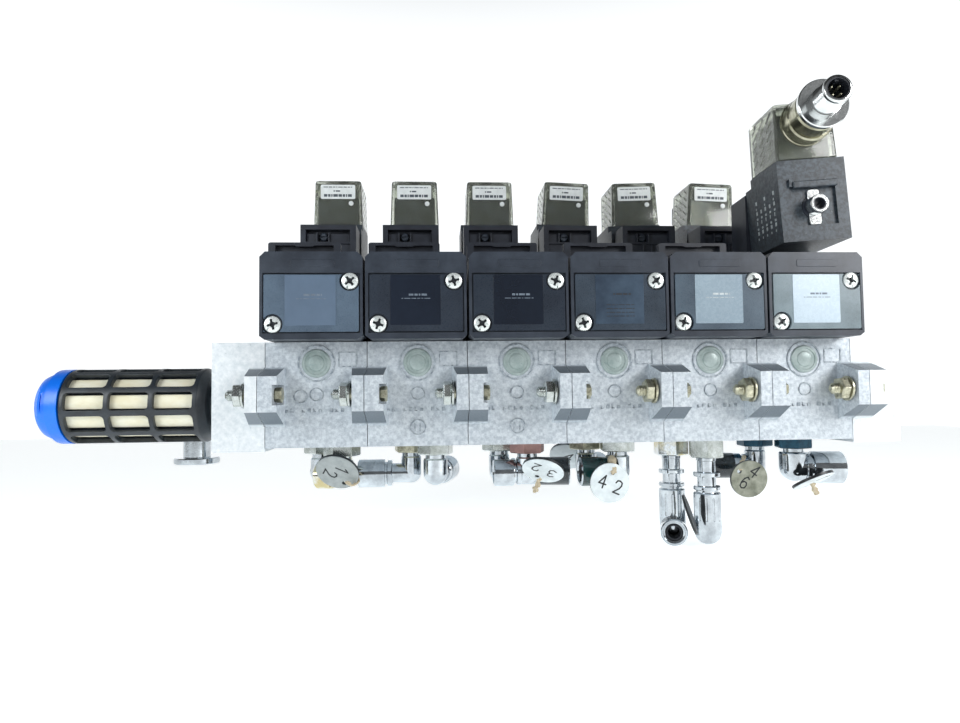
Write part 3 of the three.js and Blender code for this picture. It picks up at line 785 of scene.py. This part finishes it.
def connector_shell(has_gland):
    """Hollow see-through housing, open below, with slanting grooves on both sides."""
    outline = round_rect(PLUG_X - PLUG_HALF, PLUG_X + PLUG_HALF, PLUG_START, PLUG_END, 1.2, 4)
    levels = [(PLUG_LOW, 0), (PLUG_HIGH - 1.6, 0), (PLUG_HIGH - 0.5, 0.45), (PLUG_HIGH, 1.4)]
    count = len(outline)
    mid_y = (PLUG_START + PLUG_END) / 2
    points, faces = [], []
    for z, inset in levels:
        for x, y in outline:
            kx = 1 - inset / PLUG_HALF
            ky = 1 - inset / ((PLUG_END - PLUG_START) / 2)
            points.append((PLUG_X + (x - PLUG_X) * kx, mid_y + (y - mid_y) * ky, z))
    for level in range(len(levels) - 1):
        for k in range(count):
            a, b = level * count + k, level * count + (k + 1) % count
            faces.append((a, b, b + count, a + count))
    faces.append(tuple(range(count)))
    faces.append(tuple(range(3 * count, 4 * count)))
    inside = block(
        PLUG_X - 11.9, PLUG_X + 11.9, PLUG_START + 1.5, PLUG_END - 1.8, PLUG_LOW - 1, PLUG_HIGH - 1.9)
    cuts = [tapered(inside)]
    for side in (-1, 1):
        for column in range(3):
            for row in range(5):
                y = PLUG_START + 6.2 + column * 7.6
                z = PLUG_LOW + 4.5 + row * 4.2
                x = PLUG_X + side * (PLUG_HALF - 0.055 * (z - PLUG_LOW) * NARROWING)
                groove = block(x - 0.75, x + 0.75, y - 2.9, y + 2.9, z - 0.5, z + 0.5)
                cuts.append(moved(groove, spin_about("X", 34, (x, y, z))))
    if not has_gland:
        cuts.append(rod("y", 6.3, PLUG_END - 9, PLUG_END + 5, (PLUG_X, PLUG_AXIS)))
    return [tapered((points, faces))], cuts


def gland():
    centre = (PLUG_X, PLUG_AXIS)
    hub = lathe([(4.6, 43.6), (9.2, 43.6), (9.2, 48.6), (8.6, 49), (4.6, 49), (4.6, 43.6)], "y", 56, centre)
    ribs = []
    for k in range(24):
        rib = block(8.9, 9.5, 44.6, 48.2, -0.5, 0.5)
        ribs.append(moved(moved(rib, spin("Y", 360 * k / 24)), shift(PLUG_X, 0, PLUG_AXIS)))
    dome = lathe(
        [(4.6, 57), (8.0, 57), (8.0, 59), (7.3, 61.6), (5.6, 62.9), (4.6, 63), (4.6, 57)], "y", 56,
        centre)
    return [hub, dome] + ribs


gland_nut = shape(
    "gland_nut", [hexagon("y", 17.9, 49.0, 57.4, (PLUG_X, PLUG_AXIS), math.pi / 6)],
    [rod("y", 4.6, 45, 60, (PLUG_X, PLUG_AXIS))])
shell_mesh = shape("shell", *connector_shell(True))
shell_mesh_7 = shape("shell_7", *connector_shell(False))
gland_mesh = shape("gland", gland())
block_mesh = shape(
    "contact_block",
    [
        block(PLUG_X - 11.3, PLUG_X + 11.3, PLUG_START + 2.0, PLUG_END - 3, PLUG_LOW, PLUG_HIGH - 9.5),
        block(
            PLUG_X - 9.8, PLUG_X + 9.8, PLUG_START + 2.6, PLUG_END - 5, PLUG_HIGH - 9.6, PLUG_HIGH - 4.2),
        rod("y", 1.6, PLUG_START + 1.7, PLUG_START + 3, (PLUG_X + 6.6, PLUG_HIGH - 12.2), 20)])
paper_outline = round_rect(PLUG_X - 9.8, PLUG_X + 9.6, 36.1, 44.2, 0.8)
paper_mesh = shape("paper", [prism(paper_outline, "y", PLUG_START - 0.12, PLUG_START + 0.15)])
ink_solids = []
# Left and right end about the connector's middle, bottom, pattern and height of each printed line.
for left, right, z, seed, height in (
        (-8.2, 7.8, 42.6, 1, 0.5), (-2.6, 1.6, 40.2, 4, 0.8), (-8.0, 7.6, 37.3, 2, 1.5)):
    ink_solids += print_lines(
        PLUG_X + left, PLUG_X + right, (z,), PLUG_START - 0.18, PLUG_START, seed, height)
ink_mesh = shape("ink", ink_solids)
lamp_profile = [(0, 0.3), (1.35, 0.3), (1.35, -0.1), (0.9, -0.25), (0, -0.3)]
lamp_mesh = shape("lamp", [lathe(lamp_profile, "y", 28, (PLUG_X + 7.2, 33.6))])
for n in (*VALVES, 7):
    at = COIL_AT[n]
    place(
        f"connector_shell_{n}", shell_mesh if n < 7 else shell_mesh_7, smoky, at, slot="smoky_plastic",
        stands_for=(f"connector_{n}",))
    place(f"connector_contacts_{n}", block_mesh, contact_block, at, slot="smoky_plastic", edge=0.4)
    if n == 7:
        continue
    place(f"connector_gland_{n}", gland_mesh, smoky, at, slot="smoky_plastic")
    place(f"connector_nut_{n}", gland_nut, coil_plastic, at, slot="smoky_plastic", edge=0.2)
    place(f"connector_label_{n}", paper_mesh, paper, at, slot="smoky_plastic")
    place(f"connector_print_{n}", ink_mesh, print_ink, at, slot="smoky_plastic")
    place(f"connector_lamp_{n}", lamp_mesh, paper, at @ shift(0, PLUG_START, 0), slot="smoky_plastic")


# ---- Coil retainers on the tube ends ----
def retainer():
    """Flat spring clip over the tube's end."""
    outline = round_rect(-2.6, 2.6, -8.2, 7.4, 1.0)
    return [prism(outline, "y", 42.25, 43.0)], [rod("y", 3.9, 40, 46, (0, 0), 40)]


tip_profile = [
    (3.75, 43.4), (4.1, 43.4), (4.1, 47.7), (3.85, 48.05), (2.8, 48.05), (2.55, 47.75), (2.45, 47.75),
    (2.45, 47.6), (3.75, 47.6), (3.75, 43.4)]
tip_mesh = shape("tube_tip", [lathe(tip_profile, "y", 48)], sharp=40)
core_mesh = shape(
    "tube_core", [rod("y", 2.35, 42.5, 45.6, (0, 0), 36)],
    [moved(block(-3, 3, 45.0, 47, -0.4, 0.4), spin("Y", 40))])
retainer_mesh = shape("retainer", *retainer())
for n in (*VALVES, 7):
    place(f"tube_tip_{n}", tip_mesh, nickel, COIL_AT[n], slot="chrome_plate")
    place(f"tube_core_{n}", core_mesh, dark_plastic_and_shade, COIL_AT[n], slot="chrome_plate", edge=0.1)
    place(f"coil_retainer_{n}", retainer_mesh, nickel, COIL_AT[n], slot="chrome_plate", edge=0.1)

# Faded print on the front coil's left side.
piece(
    "coil_bar_7", [block(-10.6, 9.4, 42.9, 45.1, 8.2, 11.2)], coil_plastic, at=COIL_AT[7],
    slot="coil_plastic", edge=0.5)
coil_print = []
for column, y in enumerate((19, 23.5, 28, 32.5, 37)):
    for k in range(6 if column % 2 else 8):
        z = -9 + k * 2.4
        coil_print.append(
            block(15.15, 15.27, y, y + (1.4 if k % 3 else 0.7), z, z + (1.7 if k % 2 else 1.0)))
piece("coil_print_7", coil_print, white_ink, at=COIL_AT[7], slot="coil_plastic")


# ---- Round plug on the front connector ----
ADAPTOR_AT = (COIL_AT[7] @ shift(PLUG_X, PLUG_END, PLUG_AXIS) @ spin("X", 2) @ spin("Z", -3.5))
hub_profile = [
    (0, -7), (5.2, -7), (5.2, 1.1), (9.0, 1.1), (9.4, 1.6), (9.4, 5.4), (8.7, 6), (8.6, 7), (9.2, 7.4),
    (9.85, 8.4), (9.9, 14.8), (9.3, 15.5), (8.4, 15.9), (8.2, 16.9), (0, 16.9)]
boss_profile = [
    (6.5, 43.7), (10.7, 43.7), (10.7, 44.8), (10.4, 45.2), (10.4, 50.2), (9.8, 50.9), (6.5, 50.9),
    (6.5, 43.7)]
piece(
    "connector_boss_7", [lathe(boss_profile, "y", 72, (PLUG_X, PLUG_AXIS))], gold_ring, sharp=24,
    at=COIL_AT[7], slot="smoky_plastic")
piece(
    "adaptor_hub", [lathe(hub_profile, "y", 72)], gold_ring, sharp=24, at=ADAPTOR_AT, slot="chrome_plate",
    stands_for=("m12_adaptor",))
collar_profile = [(0, 17), (9.8, 17), (10.45, 17.5), (10.5, 19.2), (10.1, 19.6), (6.8, 19.55), (0, 19.5)]
piece(
    "adaptor_collar", [lathe(collar_profile, "y", 72)], nickel, sharp=24, at=ADAPTOR_AT,
    slot="chrome_plate")
barrel_profile = [(4.4, 19.4), (6.35, 19.4), (6.35, 21.8), (5.4, 22.1)]
for k in range(8):
    barrel_profile += [(5.9, 22.6 + k), (5.45, 23.1 + k)]
barrel_profile += [
    (5.85, 30.9), (5.75, 31.8), (5.3, 32.35), (4.75, 32.4), (4.7, 24.4), (4.4, 24.4), (4.4, 19.4)]
piece(
    "adaptor_barrel", [lathe(barrel_profile, "y", 64)], nickel, sharp=50, at=ADAPTOR_AT,
    slot="chrome_plate")
insert = [
    lathe([(0, 20), (4.68, 20), (4.68, 32.1), (4.1, 32.1), (4.0, 24.9), (0, 24.9)], "y", 48),
    block(-0.7, 0.7, 24, 31.4, 3.2, 4.4)]
piece("adaptor_insert", insert, dark_plastic_and_shade, at=ADAPTOR_AT, slot="chrome_plate")
pins = []
for degrees in (45, 135, 225, 315):
    spot = (2.3 * math.cos(math.radians(degrees)), 2.3 * math.sin(math.radians(degrees)))
    pins.append(lathe([(0, 24.5), (0.55, 24.5), (0.55, 29.8), (0.3, 30.35), (0, 30.4)], "y", 16, spot))
piece("adaptor_pins", pins, yellow_zinc, at=ADAPTOR_AT, slot="chrome_plate")


# ---- Silencer ----
SIL_Y, SIL_Z, SIL_R = -38, 20, 16.3
RIM, CAP_END, SHOULDER = box_mm("silencer_body")[0].x, box_mm("silencer_cap")[0].x, -157
WINDOW_ROWS, WINDOW_COLUMNS = 10, (-204.2, -186, -167.8)
FIRST_ROW = 82                        # degrees from the top to the first row and the first notch
cage_profile = [
    (SIL_R - 2.4, RIM), (SIL_R - 0.5, RIM), (SIL_R, RIM + 0.5), (SIL_R, SHOULDER - 0.8),
    (SIL_R - 0.8, SHOULDER), (SIL_R - 3, SHOULDER + 2), (9, SHOULDER + 2.4), (9, -151.5), (6.6, -151.5),
    (6.6, -141), (4.4, -141), (4.4, SHOULDER - 1.5), (SIL_R - 2.4, SHOULDER - 1.5), (SIL_R - 2.4, RIM)]
windows = []
for row in range(WINDOW_ROWS):
    for column in WINDOW_COLUMNS:
        outline = round_rect(column - 8.1, column + 8.1, -3.75, 3.75, 1.6)
        window = prism(outline, "z", SIL_R - 5, SIL_R + 3)
        windows.append(moved(window, spin("X", FIRST_ROW + row * 360 / WINDOW_ROWS)))
silencer_at = shift(0, SIL_Y, SIL_Z)
piece(
    "silencer_cage", [lathe(cage_profile, "x", 90)], cage_plastic, cuts=windows, sharp=36, at=silencer_at,
    slot="silencer_cage", edge=0.35, stands_for=("silencer_body",))
element_profile = [
    (9.6, RIM + 0.5), (13.6, RIM + 0.5), (13.6, SHOULDER - 2), (9.6, SHOULDER - 2), (9.6, RIM + 0.5)]
piece(
    "silencer_felt", [lathe(element_profile, "x", 72)], felt, at=silencer_at, slot="porous_element",
    stands_for=("silencer_element",))
cap_profile = [
    (0, CAP_END + 0.8), (9.5, CAP_END), (12.2, CAP_END + 0.3), (13.4, CAP_END + 1.3), (14.2, CAP_END + 3),
    (14.6, CAP_END + 5.5), (SIL_R - 0.1, CAP_END + 6.2), (SIL_R, CAP_END + 6.9), (SIL_R, RIM - 0.5),
    (SIL_R - 3, RIM - 0.3), (SIL_R - 3, CAP_END + 4.6), (0, CAP_END + 4.6)]
cap_cuts = []
for degrees in (0, 120, 240):
    notch = prism(round_rect(CAP_END - 2, CAP_END + 2.4, -6.6, 6.6, 0.8), "z", 12.3, 20)
    groove = block(CAP_END + 3.5, CAP_END + 4.0, -7.4, 7.4, 13.7, 18)
    ends = [
        block(CAP_END + 0.6, CAP_END + 4.0, side * 7.2 - 0.3, side * 7.2 + 0.3, 12.9, 18)
        for side in (-1, 1)]
    for cutter in (notch, groove, *ends):
        cap_cuts.append(moved(cutter, spin("X", FIRST_ROW + degrees)))
piece(
    "silencer_blue_cap", [lathe(cap_profile, "x", 90)], blue, cuts=cap_cuts, sharp=30, at=silencer_at,
    slot="blue_plastic", edge=0.2, stands_for=("silencer_cap",))


# ---- Fittings ----
def outlet(length, radius, neck, start):
    """Push-in barrel along +X on its neck, with its ring and tube socket."""
    profile = [
        (0, 0), (neck, 0), (neck, start), (radius - 0.9, start), (radius - 0.4, start + 0.4),
        (radius - 0.4, start + 2.2), (radius - 1.2, start + 2.6), (radius - 1.2, start + 3.4),
        (radius - 0.15, start + 3.6), (radius, start + 4.0), (radius, length - 0.5),
        (radius - 0.5, length), (5.1, length), (4.9, length - 0.8), (4.2, length - 1.0),
        (4.2, length - 12), (0, length - 12)]
    return lathe(profile, "x", 56)


def short_stem(corner_r, z):
    return lathe(
        [(0, z), (corner_r, z), (corner_r, -6.9), (corner_r - 0.5, -6.2), (4.6, -6.2), (4.6, 8), (0, 8)],
        "z", 48)


def riser_stem(z):
    profile = [
        (0, z), (6.3, z), (6.3, -25.1), (5.9, -24.5), (5, -24.4), (5, -23.5), (6.0, -23.4), (6.2, -23.1),
        (6.2, -21.9), (6.0, -21.6), (4.3, -21.5), (4.3, -17.1), (6.0, -17), (6.2, -16.7), (6.2, -15.3),
        (6.0, -15), (4.3, -14.9), (4.3, -9.8), (4.6, -9.6), (4.6, 8), (0, 8)]
    flutes = []
    for k in range(12):
        flute = lathe([(0, -38), (0.55, -37.4), (0.55, -27), (0, -26.4)], "z", 12, (6.55, 0))
        flutes.append(moved(flute, spin("Z", 360 * k / 12)))
    return lathe(profile, "z", 48), flutes


def fitting_at(valve, port, heading):
    return shift(STATION[valve] + port.x, port.y, 0) @ spin("Z", heading)


def elbow(name, valve, port, heading, corner_r, z, barrel, finish, body, node=None):
    """One corner fitting: stem, ball corner and outlet. With no node it stands still on its base.

    heading is in degrees, z is the corner's height and barrel is what outlet() takes.
    """
    solids = [short_stem(corner_r, z), ball(corner_r, (0, 0, z)), moved(outlet(*barrel), shift(0, 0, z))]
    options = {"stands_for": (node,)} if node else {}
    piece(
        name, solids, finish, at=fitting_at(valve, port, heading), body=body, slot="chrome_plate",
        **options)
    collet(name, valve, port, heading, z, barrel[0], body)


def collet(name, valve, port, heading, z, length, body):
    """Dark release ring inside a barrel."""
    cup = [
        (0, length - 11.8), (4.1, length - 11.8), (4.1, length - 1.6), (3.7, length - 0.9),
        (3.1, length - 0.9), (2.9, length - 1.4), (2.9, length - 10.6), (0, length - 10.6)]
    piece(
        f"{name}_collet", [moved(lathe(cup, "x", 40), shift(0, 0, z))], dark_plastic_and_shade,
        at=fitting_at(valve, port, heading), body=body, slot="chrome_plate")


def riser(name, valve, port, heading, z, barrel, finish, node):
    stem, flutes = riser_stem(z)
    solids = [ball(6.3, (0, 0, z)), moved(outlet(*barrel), shift(0, 0, z))]
    piece(
        name, [stem], finish, cuts=flutes, at=fitting_at(valve, port, heading), body=node,
        slot="chrome_plate", stands_for=(node,))
    piece(
        f"{name}_corner", solids, finish, at=fitting_at(valve, port, heading), body=node,
        slot="chrome_plate")
    collet(name, valve, port, heading, z, barrel[0], node)


elbow("fitting_2a", 2, PORT_A, 75, 5.6, -13.2, (23, 6.2, 5, 7), chrome, "elbow_2a", "elbow_2a")
elbow("fitting_2b", 2, PORT_B, 180, 4.9, -14.5, (25.5, 6.7, 4.7, 9), chrome, "elbow_2b", "elbow_2b")
elbow("fitting_3b", 3, PORT_B, -9, 5, -14.5, (34.2, 6.7, 5, 5.5), chrome, "elbow_3b", "elbow_3b")
elbow("fitting_4a", 4, PORT_A, 180, 5.6, -13.8, (18.4, 6.7, 5, 1), chrome, "elbow_4a", "elbow_4a")
riser("fitting_5a", 5, PORT_A, 65, -43, (20, 6.2, 5, 5), aged_chrome, "elbow_5a")
riser("fitting_5b", 5, PORT_B, -107, -43.5, (15.5, 6.3, 5, 1), chrome, "elbow_5b")
elbow("fitting_6a", 6, PORT_A, -8, 6.6, -13.8, (22, 7.7, 6.4, 4), chrome, "elbow_6a", "elbow_6a")
elbow("fitting_1a", 1, PORT_A, 165, 5.2, -13.4, (12, 6.2, 5, 1), stained_chrome, "manifold")
elbow("fitting_1b", 1, PORT_B, 96, 5.2, -13.8, (20, 6.2, 5, 4), chrome, "manifold")
elbow("fitting_3a", 3, PORT_A, 180, 5.2, -13.6, (16, 6.2, 5, 3), chrome, "manifold")
elbow("fitting_4b", 4, PORT_B, 60, 5.2, -13.6, (20, 6.2, 5, 4), chrome, "manifold")
elbow("fitting_6b", 6, PORT_B, 170, 4.9, -14.2, (22, 6.2, 4.7, 4), chrome, "manifold")


def sleeve(name, valve, port, heading, z, start, end, radius, finish, body):
    """Dark sleeve around a barrel."""
    profile = [
        (radius - 0.6, start), (radius + 0.02, start), (radius + 0.12, start + 0.4),
        (radius + 0.12, end - 0.4), (radius + 0.02, end), (radius - 0.6, end), (radius - 0.6, start)]
    piece(
        name, [moved(lathe(profile, "x", 56), shift(0, 0, z))], finish,
        at=fitting_at(valve, port, heading), body=body, slot="chrome_plate")


sleeve("sleeve_3b", 3, PORT_B, -9, -14.5, 19.5, 33.6, 6.7, black_sleeve, "elbow_3b")
sleeve("sleeve_6b", 6, PORT_B, 170, -14.2, 11, 21.4, 6.2, black_sleeve, "manifold")
sleeve("sleeve_4a", 4, PORT_A, 180, -13.8, 6, 17.8, 6.7, green_sleeve, "elbow_4a")

# Supply elbow: along -X from the end plate, then down to its flanged end.
CORNER_X, PLATE_X = -176.2, -151
run_profile = [
    (0, CORNER_X), (6.2, CORNER_X), (6.2, PLATE_X - 8), (9.1, PLATE_X - 8), (9.5, PLATE_X - 7.6),
    (9.5, PLATE_X - 0.9), (9.1, PLATE_X - 0.5), (6.6, PLATE_X - 0.5), (6.6, PLATE_X + 10),
    (0, PLATE_X + 10)]
drop_profile = [
    (0, 0), (6.4, 0), (6.4, -26.4), (10.4, -26.5), (10.8, -26.9), (10.8, -29.1), (10.4, -29.5),
    (5.4, -29.5), (5, -29.1), (5, -17), (0, -17)]
supply = [
    lathe(run_profile, "x", 56), moved(lathe(drop_profile, "z", 56), shift(CORNER_X, 0, 0)),
    ball(6.6, (CORNER_X, 0, 0))]
piece(
    "supply_fitting", supply, chrome, at=shift(0, 0, 20), body="supply_elbow", slot="chrome_plate",
    stands_for=("supply_elbow",))


# ---- Hexagon studs in the ports ----
STUD_FLATS = 14.8


def stud(length):
    """Hexagon with a collar, bored for the fitting's stem, hanging from z = 0."""
    outer = hexagon("z", STUD_FLATS, -length, 0, (0, 0), 0.0, 0.8)
    return [outer], [rod("z", 4.95, -length - 2, 2, (0, 0), 40)]


# Length, then finish and turn of the stud in port A and in port B.
STUDS = {
    1: (5.9, (zinc, 8), (zinc, 20)),
    2: (5.9, (zinc, 16), (yellow_zinc, 42)),
    3: (5.9, (red_stud, 12), (zinc, 4)),
    4: (5.9, (zinc, 24), (yellow_zinc, 10)),
    5: (9.6, (zinc, 14), (stained_chrome, 28)),
    6: (5.9, (blue_stud, 18), (blue_stud, 30)),
}
for n, (length, in_a, in_b) in STUDS.items():
    for key, port, (finish, turn) in (("a", PORT_A, in_a), ("b", PORT_B, in_b)):
        solids, cuts = stud(length)
        at = shift(STATION[n] + port.x, port.y, BASE_LOW.z) @ spin("Z", turn)
        piece(f"port_stud_{n}{key}", solids, finish, cuts=cuts, at=at, slot="chrome_plate", edge=0.25)


# ---- Numbered tags ----
STROKES = {
    "1": [[(0.15, 0.72), (0.5, 1), (0.5, 0)]],
    "2": [[(0.08, 0.76), (0.2, 0.95), (0.5, 1), (0.8, 0.9), (0.86, 0.68), (0.7, 0.42), (0.08, 0), (0.92, 0)]],
    "3": [[(0.1, 0.86), (0.4, 1), (0.78, 0.92), (0.82, 0.68), (0.62, 0.54), (0.4, 0.53)],
          [(0.62, 0.54), (0.88, 0.38), (0.84, 0.12), (0.5, 0), (0.1, 0.12)]],
    "4": [[(0.66, 0), (0.66, 1), (0.05, 0.32), (0.95, 0.32)]],
    "6": [[(0.78, 0.9), (0.5, 1), (0.22, 0.8), (0.1, 0.42), (0.2, 0.1), (0.5, 0), (0.82, 0.12), (0.88, 0.36),
           (0.7, 0.56), (0.4, 0.56), (0.14, 0.38)]],
}


DIGIT_WIDTH, DIGIT_HEIGHT, STROKE_HALF = 3.7, 5.8, 0.32
TAG_FACE = -0.8


def digit(symbol, x, z, turn):
    """A digit's strokes as bars on the face y = 0, about its own middle."""
    bars = []
    for line in STROKES[symbol]:
        for (ax, az), (bx, bz) in zip(line, line[1:]):
            a = Vector(((ax - 0.5) * DIGIT_WIDTH, 0, (az - 0.5) * DIGIT_HEIGHT))
            b = Vector(((bx - 0.5) * DIGIT_WIDTH, 0, (bz - 0.5) * DIGIT_HEIGHT))
            along = b - a
            bar = prism(
                round_rect(-STROKE_HALF, along.length + STROKE_HALF, -STROKE_HALF, STROKE_HALF, 0.3, 3),
                "y", -0.06, 0.12)
            slope = Matrix.Rotation(-math.atan2(along.z, along.x), 4, "Y")
            bars.append(moved(bar, shift(x, 0, z) @ spin("Y", turn) @ shift(*a) @ slope))
    return bars


def tag(name, body, centre, lean, tip, radius, finish, digits, hole):
    """A two-layer disc tag facing -Y, turned by lean about Y and tipped by tip about X, in degrees.

    digits are (symbol, x, z, turn) on its face and hole is the middle of its opening.
    """
    at = shift(*centre) @ spin("Y", lean) @ spin("X", tip)
    opening = [rod("y", 1.1, -3, 3, hole, 24)]
    for part, front, back, colour in (
            ("core", -0.45, -TAG_FACE, tag_core), ("face", TAG_FACE, -0.45, finish)):
        disc = [(0, back), (radius, back), (radius, front + 0.12), (radius - 0.12, front), (0, front)]
        piece(
            f"{name}_{part}", [lathe(disc, "y", 64)], colour, cuts=opening, at=at, body=body,
            slot="blue_plastic")
    strokes = []
    for symbol, x, z, turn in digits:
        strokes += [moved(bar, shift(0, TAG_FACE, 0)) for bar in digit(symbol, x, z, turn)]
    piece(f"{name}_numbers", strokes, tag_core, at=at, body=body, slot="blue_plastic")


def tie(name, body, path, radius=1.0):
    """A twisted tie along a path, as two strands wound about it."""
    path = [Vector(p) for p in path]
    fine = []
    for a, b in zip(path, path[1:]):
        fine += [a.lerp(b, k / 6) for k in range(6)]
    fine.append(path[-1])
    strands = []
    for phase in (0, math.pi):
        points = []
        for k, p in enumerate(fine):
            angle = phase + k * 0.55
            points.append(
                p + Vector((math.cos(angle), 0.4 * math.sin(angle), math.sin(angle))) * radius * 0.45)
        strands.append(pipe(points, radius * 0.55))
    piece(name, strands, tie_string, body=body, slot="blue_plastic")


tag(
    "tag_12", "manifold", (-100.7, -41, -10.4), 14, 38, 9.6, tag_grey,
    (("1", 1.9, 2.2, 104), ("2", -2.9, -1.4, 104)), (3.8, -5.4))
tie(
    "tie_12", "manifold",
    [(-96.4, -44.2, -14.6), (-94.2, -41, -16.6), (-92.4, -35, -15.6), (-94, -26, -12)], 0.9)
tag(
    "tag_32", "elbow_3b", (-9.2, -45, -10.9), 18, 55, 9.4, tag_white,
    (("2", -3.7, 1.6, 182), ("3", 3.9, 0.4, 182)), (-1.0, -5.6))
tie(
    "tie_32", "elbow_3b",
    [(-11.4, -48.5, -14.4), (-12.2, -48, -17.6), (-12.8, -45, -20.2), (-12.0, -38, -19.6)], 1.3)
tag("tag_back", "manifold", (9.3, -5, -8.8), 22, 44, 8.7, tag_white, (("4", 1.0, 0.6, 10),), (-0.5, -6.4))
tag(
    "tag_42", "elbow_4a", (20.5, -46.5, -17), 0, 4, 8.9, tag_white,
    (("4", -3.2, 0.9, 20), ("2", 3.6, -1.9, 22)), (1.3, 4.7))
tie(
    "tie_42", "elbow_4a",
    [
        (21.8, -47.8, -12.6), (22.3, -46.8, -9.6), (22.6, -44, -7.0), (23.4, -39, -6.8),
        (24.4, -34.8, -8.4)], 1.7)
tag(
    "tag_64", "manifold", (87.6, -40, -17.4), 2, 6, 8.6, tag_aged,
    (("6", -2.2, -1.6, 32), ("4", 2.4, 3.6, 36)), (-4.9, 3.6))
tie("tie_64", "manifold", [(83.4, -41, -13.2), (85, -39, -9.4), (89, -33, -8), (93, -24, -9)], 1.0)
tag(
    "tag_61", "elbow_6a", (114.8, -46.2, -17.8), -17, 66, 9.5, tag_white, (("1", 3.6, 2.2, 70),),
    (-1.8, -5.6))
tie(
    "tie_61", "elbow_6a",
    [(112.2, -50.6, -18.6), (112.8, -51.2, -21.2), (113.6, -51.0, -23.0), (114.2, -48, -21.8)], 1.4)
edge_disc = lathe([(0, 0.5), (9.2, 0.5), (9.2, -0.5), (0, -0.5)], "y", 64)
piece(
    "tag_edge_5", [edge_disc], tag_core, cuts=[rod("y", 1.1, -2, 2, (0, 6.4), 24)],
    at=shift(58.2, -43, -32.6) @ spin("Y", -20) @ spin("Z", 69), body="elbow_5b", slot="blue_plastic")


# ---- Camera: its place in metres, and how far it looks from +Y, in radians ----
CAMERA_SPOT = (-0.05556, -0.34300, 0.02419)
PAN, ROLL, TILT = -0.062, 0.012, 0.046
camera_data = bpy.data.cameras.new("camera")
camera_data.sensor_fit = "HORIZONTAL"
camera_data.sensor_width = 36
camera_data.lens = 25.0
camera_data.clip_start = 0.01
camera = bpy.data.objects.new("camera", camera_data)
SCENE.collection.objects.link(camera)
facing = Matrix.Rotation(PAN, 4, "Z") @ Matrix.Rotation(ROLL, 4, "Y") @ Matrix.Rotation(TILT, 4, "X")
camera.matrix_world = shift(*CAMERA_SPOT) @ facing @ spin("X", 90)
SCENE.camera = camera

# ---- Studio ----
FLOOR_HALF = 0.9
FLOOR_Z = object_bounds()[0].z - 0.0005
floor_mesh = bpy.data.meshes.new("floor")
corners = ((-1, -1), (1, -1), (1, 1), (-1, 1))
floor_mesh.from_pydata([(x * FLOOR_HALF, y * FLOOR_HALF, FLOOR_Z) for x, y in corners], [], [(0, 1, 2, 3)])
floor = bpy.data.objects.new("floor", floor_mesh)
SCENE.collection.objects.link(floor)
floor_paint = surface(
    "floor_paint", (0.93, 0.95, 0.95), (0.90, 0.93, 0.93), (0.6, 0.8), blotch=6, contrast=0.2, grain=300,
    bump=0, Emission_Color=(0.96, 0.99, 1.0, 1), Emission_Strength=0.66)
floor_mesh.materials.append(floor_paint)


def softbox(name, spot, target, size, energy, colour=(1, 1, 1)):
    data = bpy.data.lights.new(name, "AREA")
    data.shape = "RECTANGLE"
    data.size, data.size_y = size
    data.energy = energy
    data.color = colour
    lamp = bpy.data.objects.new(name, data)
    lamp.location = spot
    lamp.rotation_euler = (Vector(target) - Vector(spot)).to_track_quat("-Z", "Y").to_euler()
    SCENE.collection.objects.link(lamp)


softbox("key", (0.40, -0.36, 0.22), (0.15, -0.05, 0.04), (0.22, 0.22), 1.9)
softbox("fill", (-0.42, -0.34, 0.18), (-0.22, -0.05, 0.03), (0.20, 0.20), 1.05, (0.93, 0.97, 1.0))


# The studio is bright behind the object and below, dim above and behind the camera.
world = bpy.data.worlds.new("studio")
SCENE.world = world
world.use_nodes = True
tree = world.node_tree
towards = add_node(tree, "TexCoord").outputs["Generated"]
by_depth = ramp(tree, coordinate(tree, towards, "Y"), -0.20, 0.62, 0.20, 1.15, "SMOOTHSTEP")
by_height = ramp(tree, coordinate(tree, towards, "Z"), 0.42, 0.75, 1.0, 0.15, "SMOOTHSTEP")
background = tree.nodes["Background"]
background.inputs["Color"].default_value = (0.96, 0.985, 1.0, 1)
tree.links.new(math_node(tree, "MULTIPLY", by_depth, by_height), background.inputs["Strength"])
SCENE.view_settings.view_transform = "Standard"
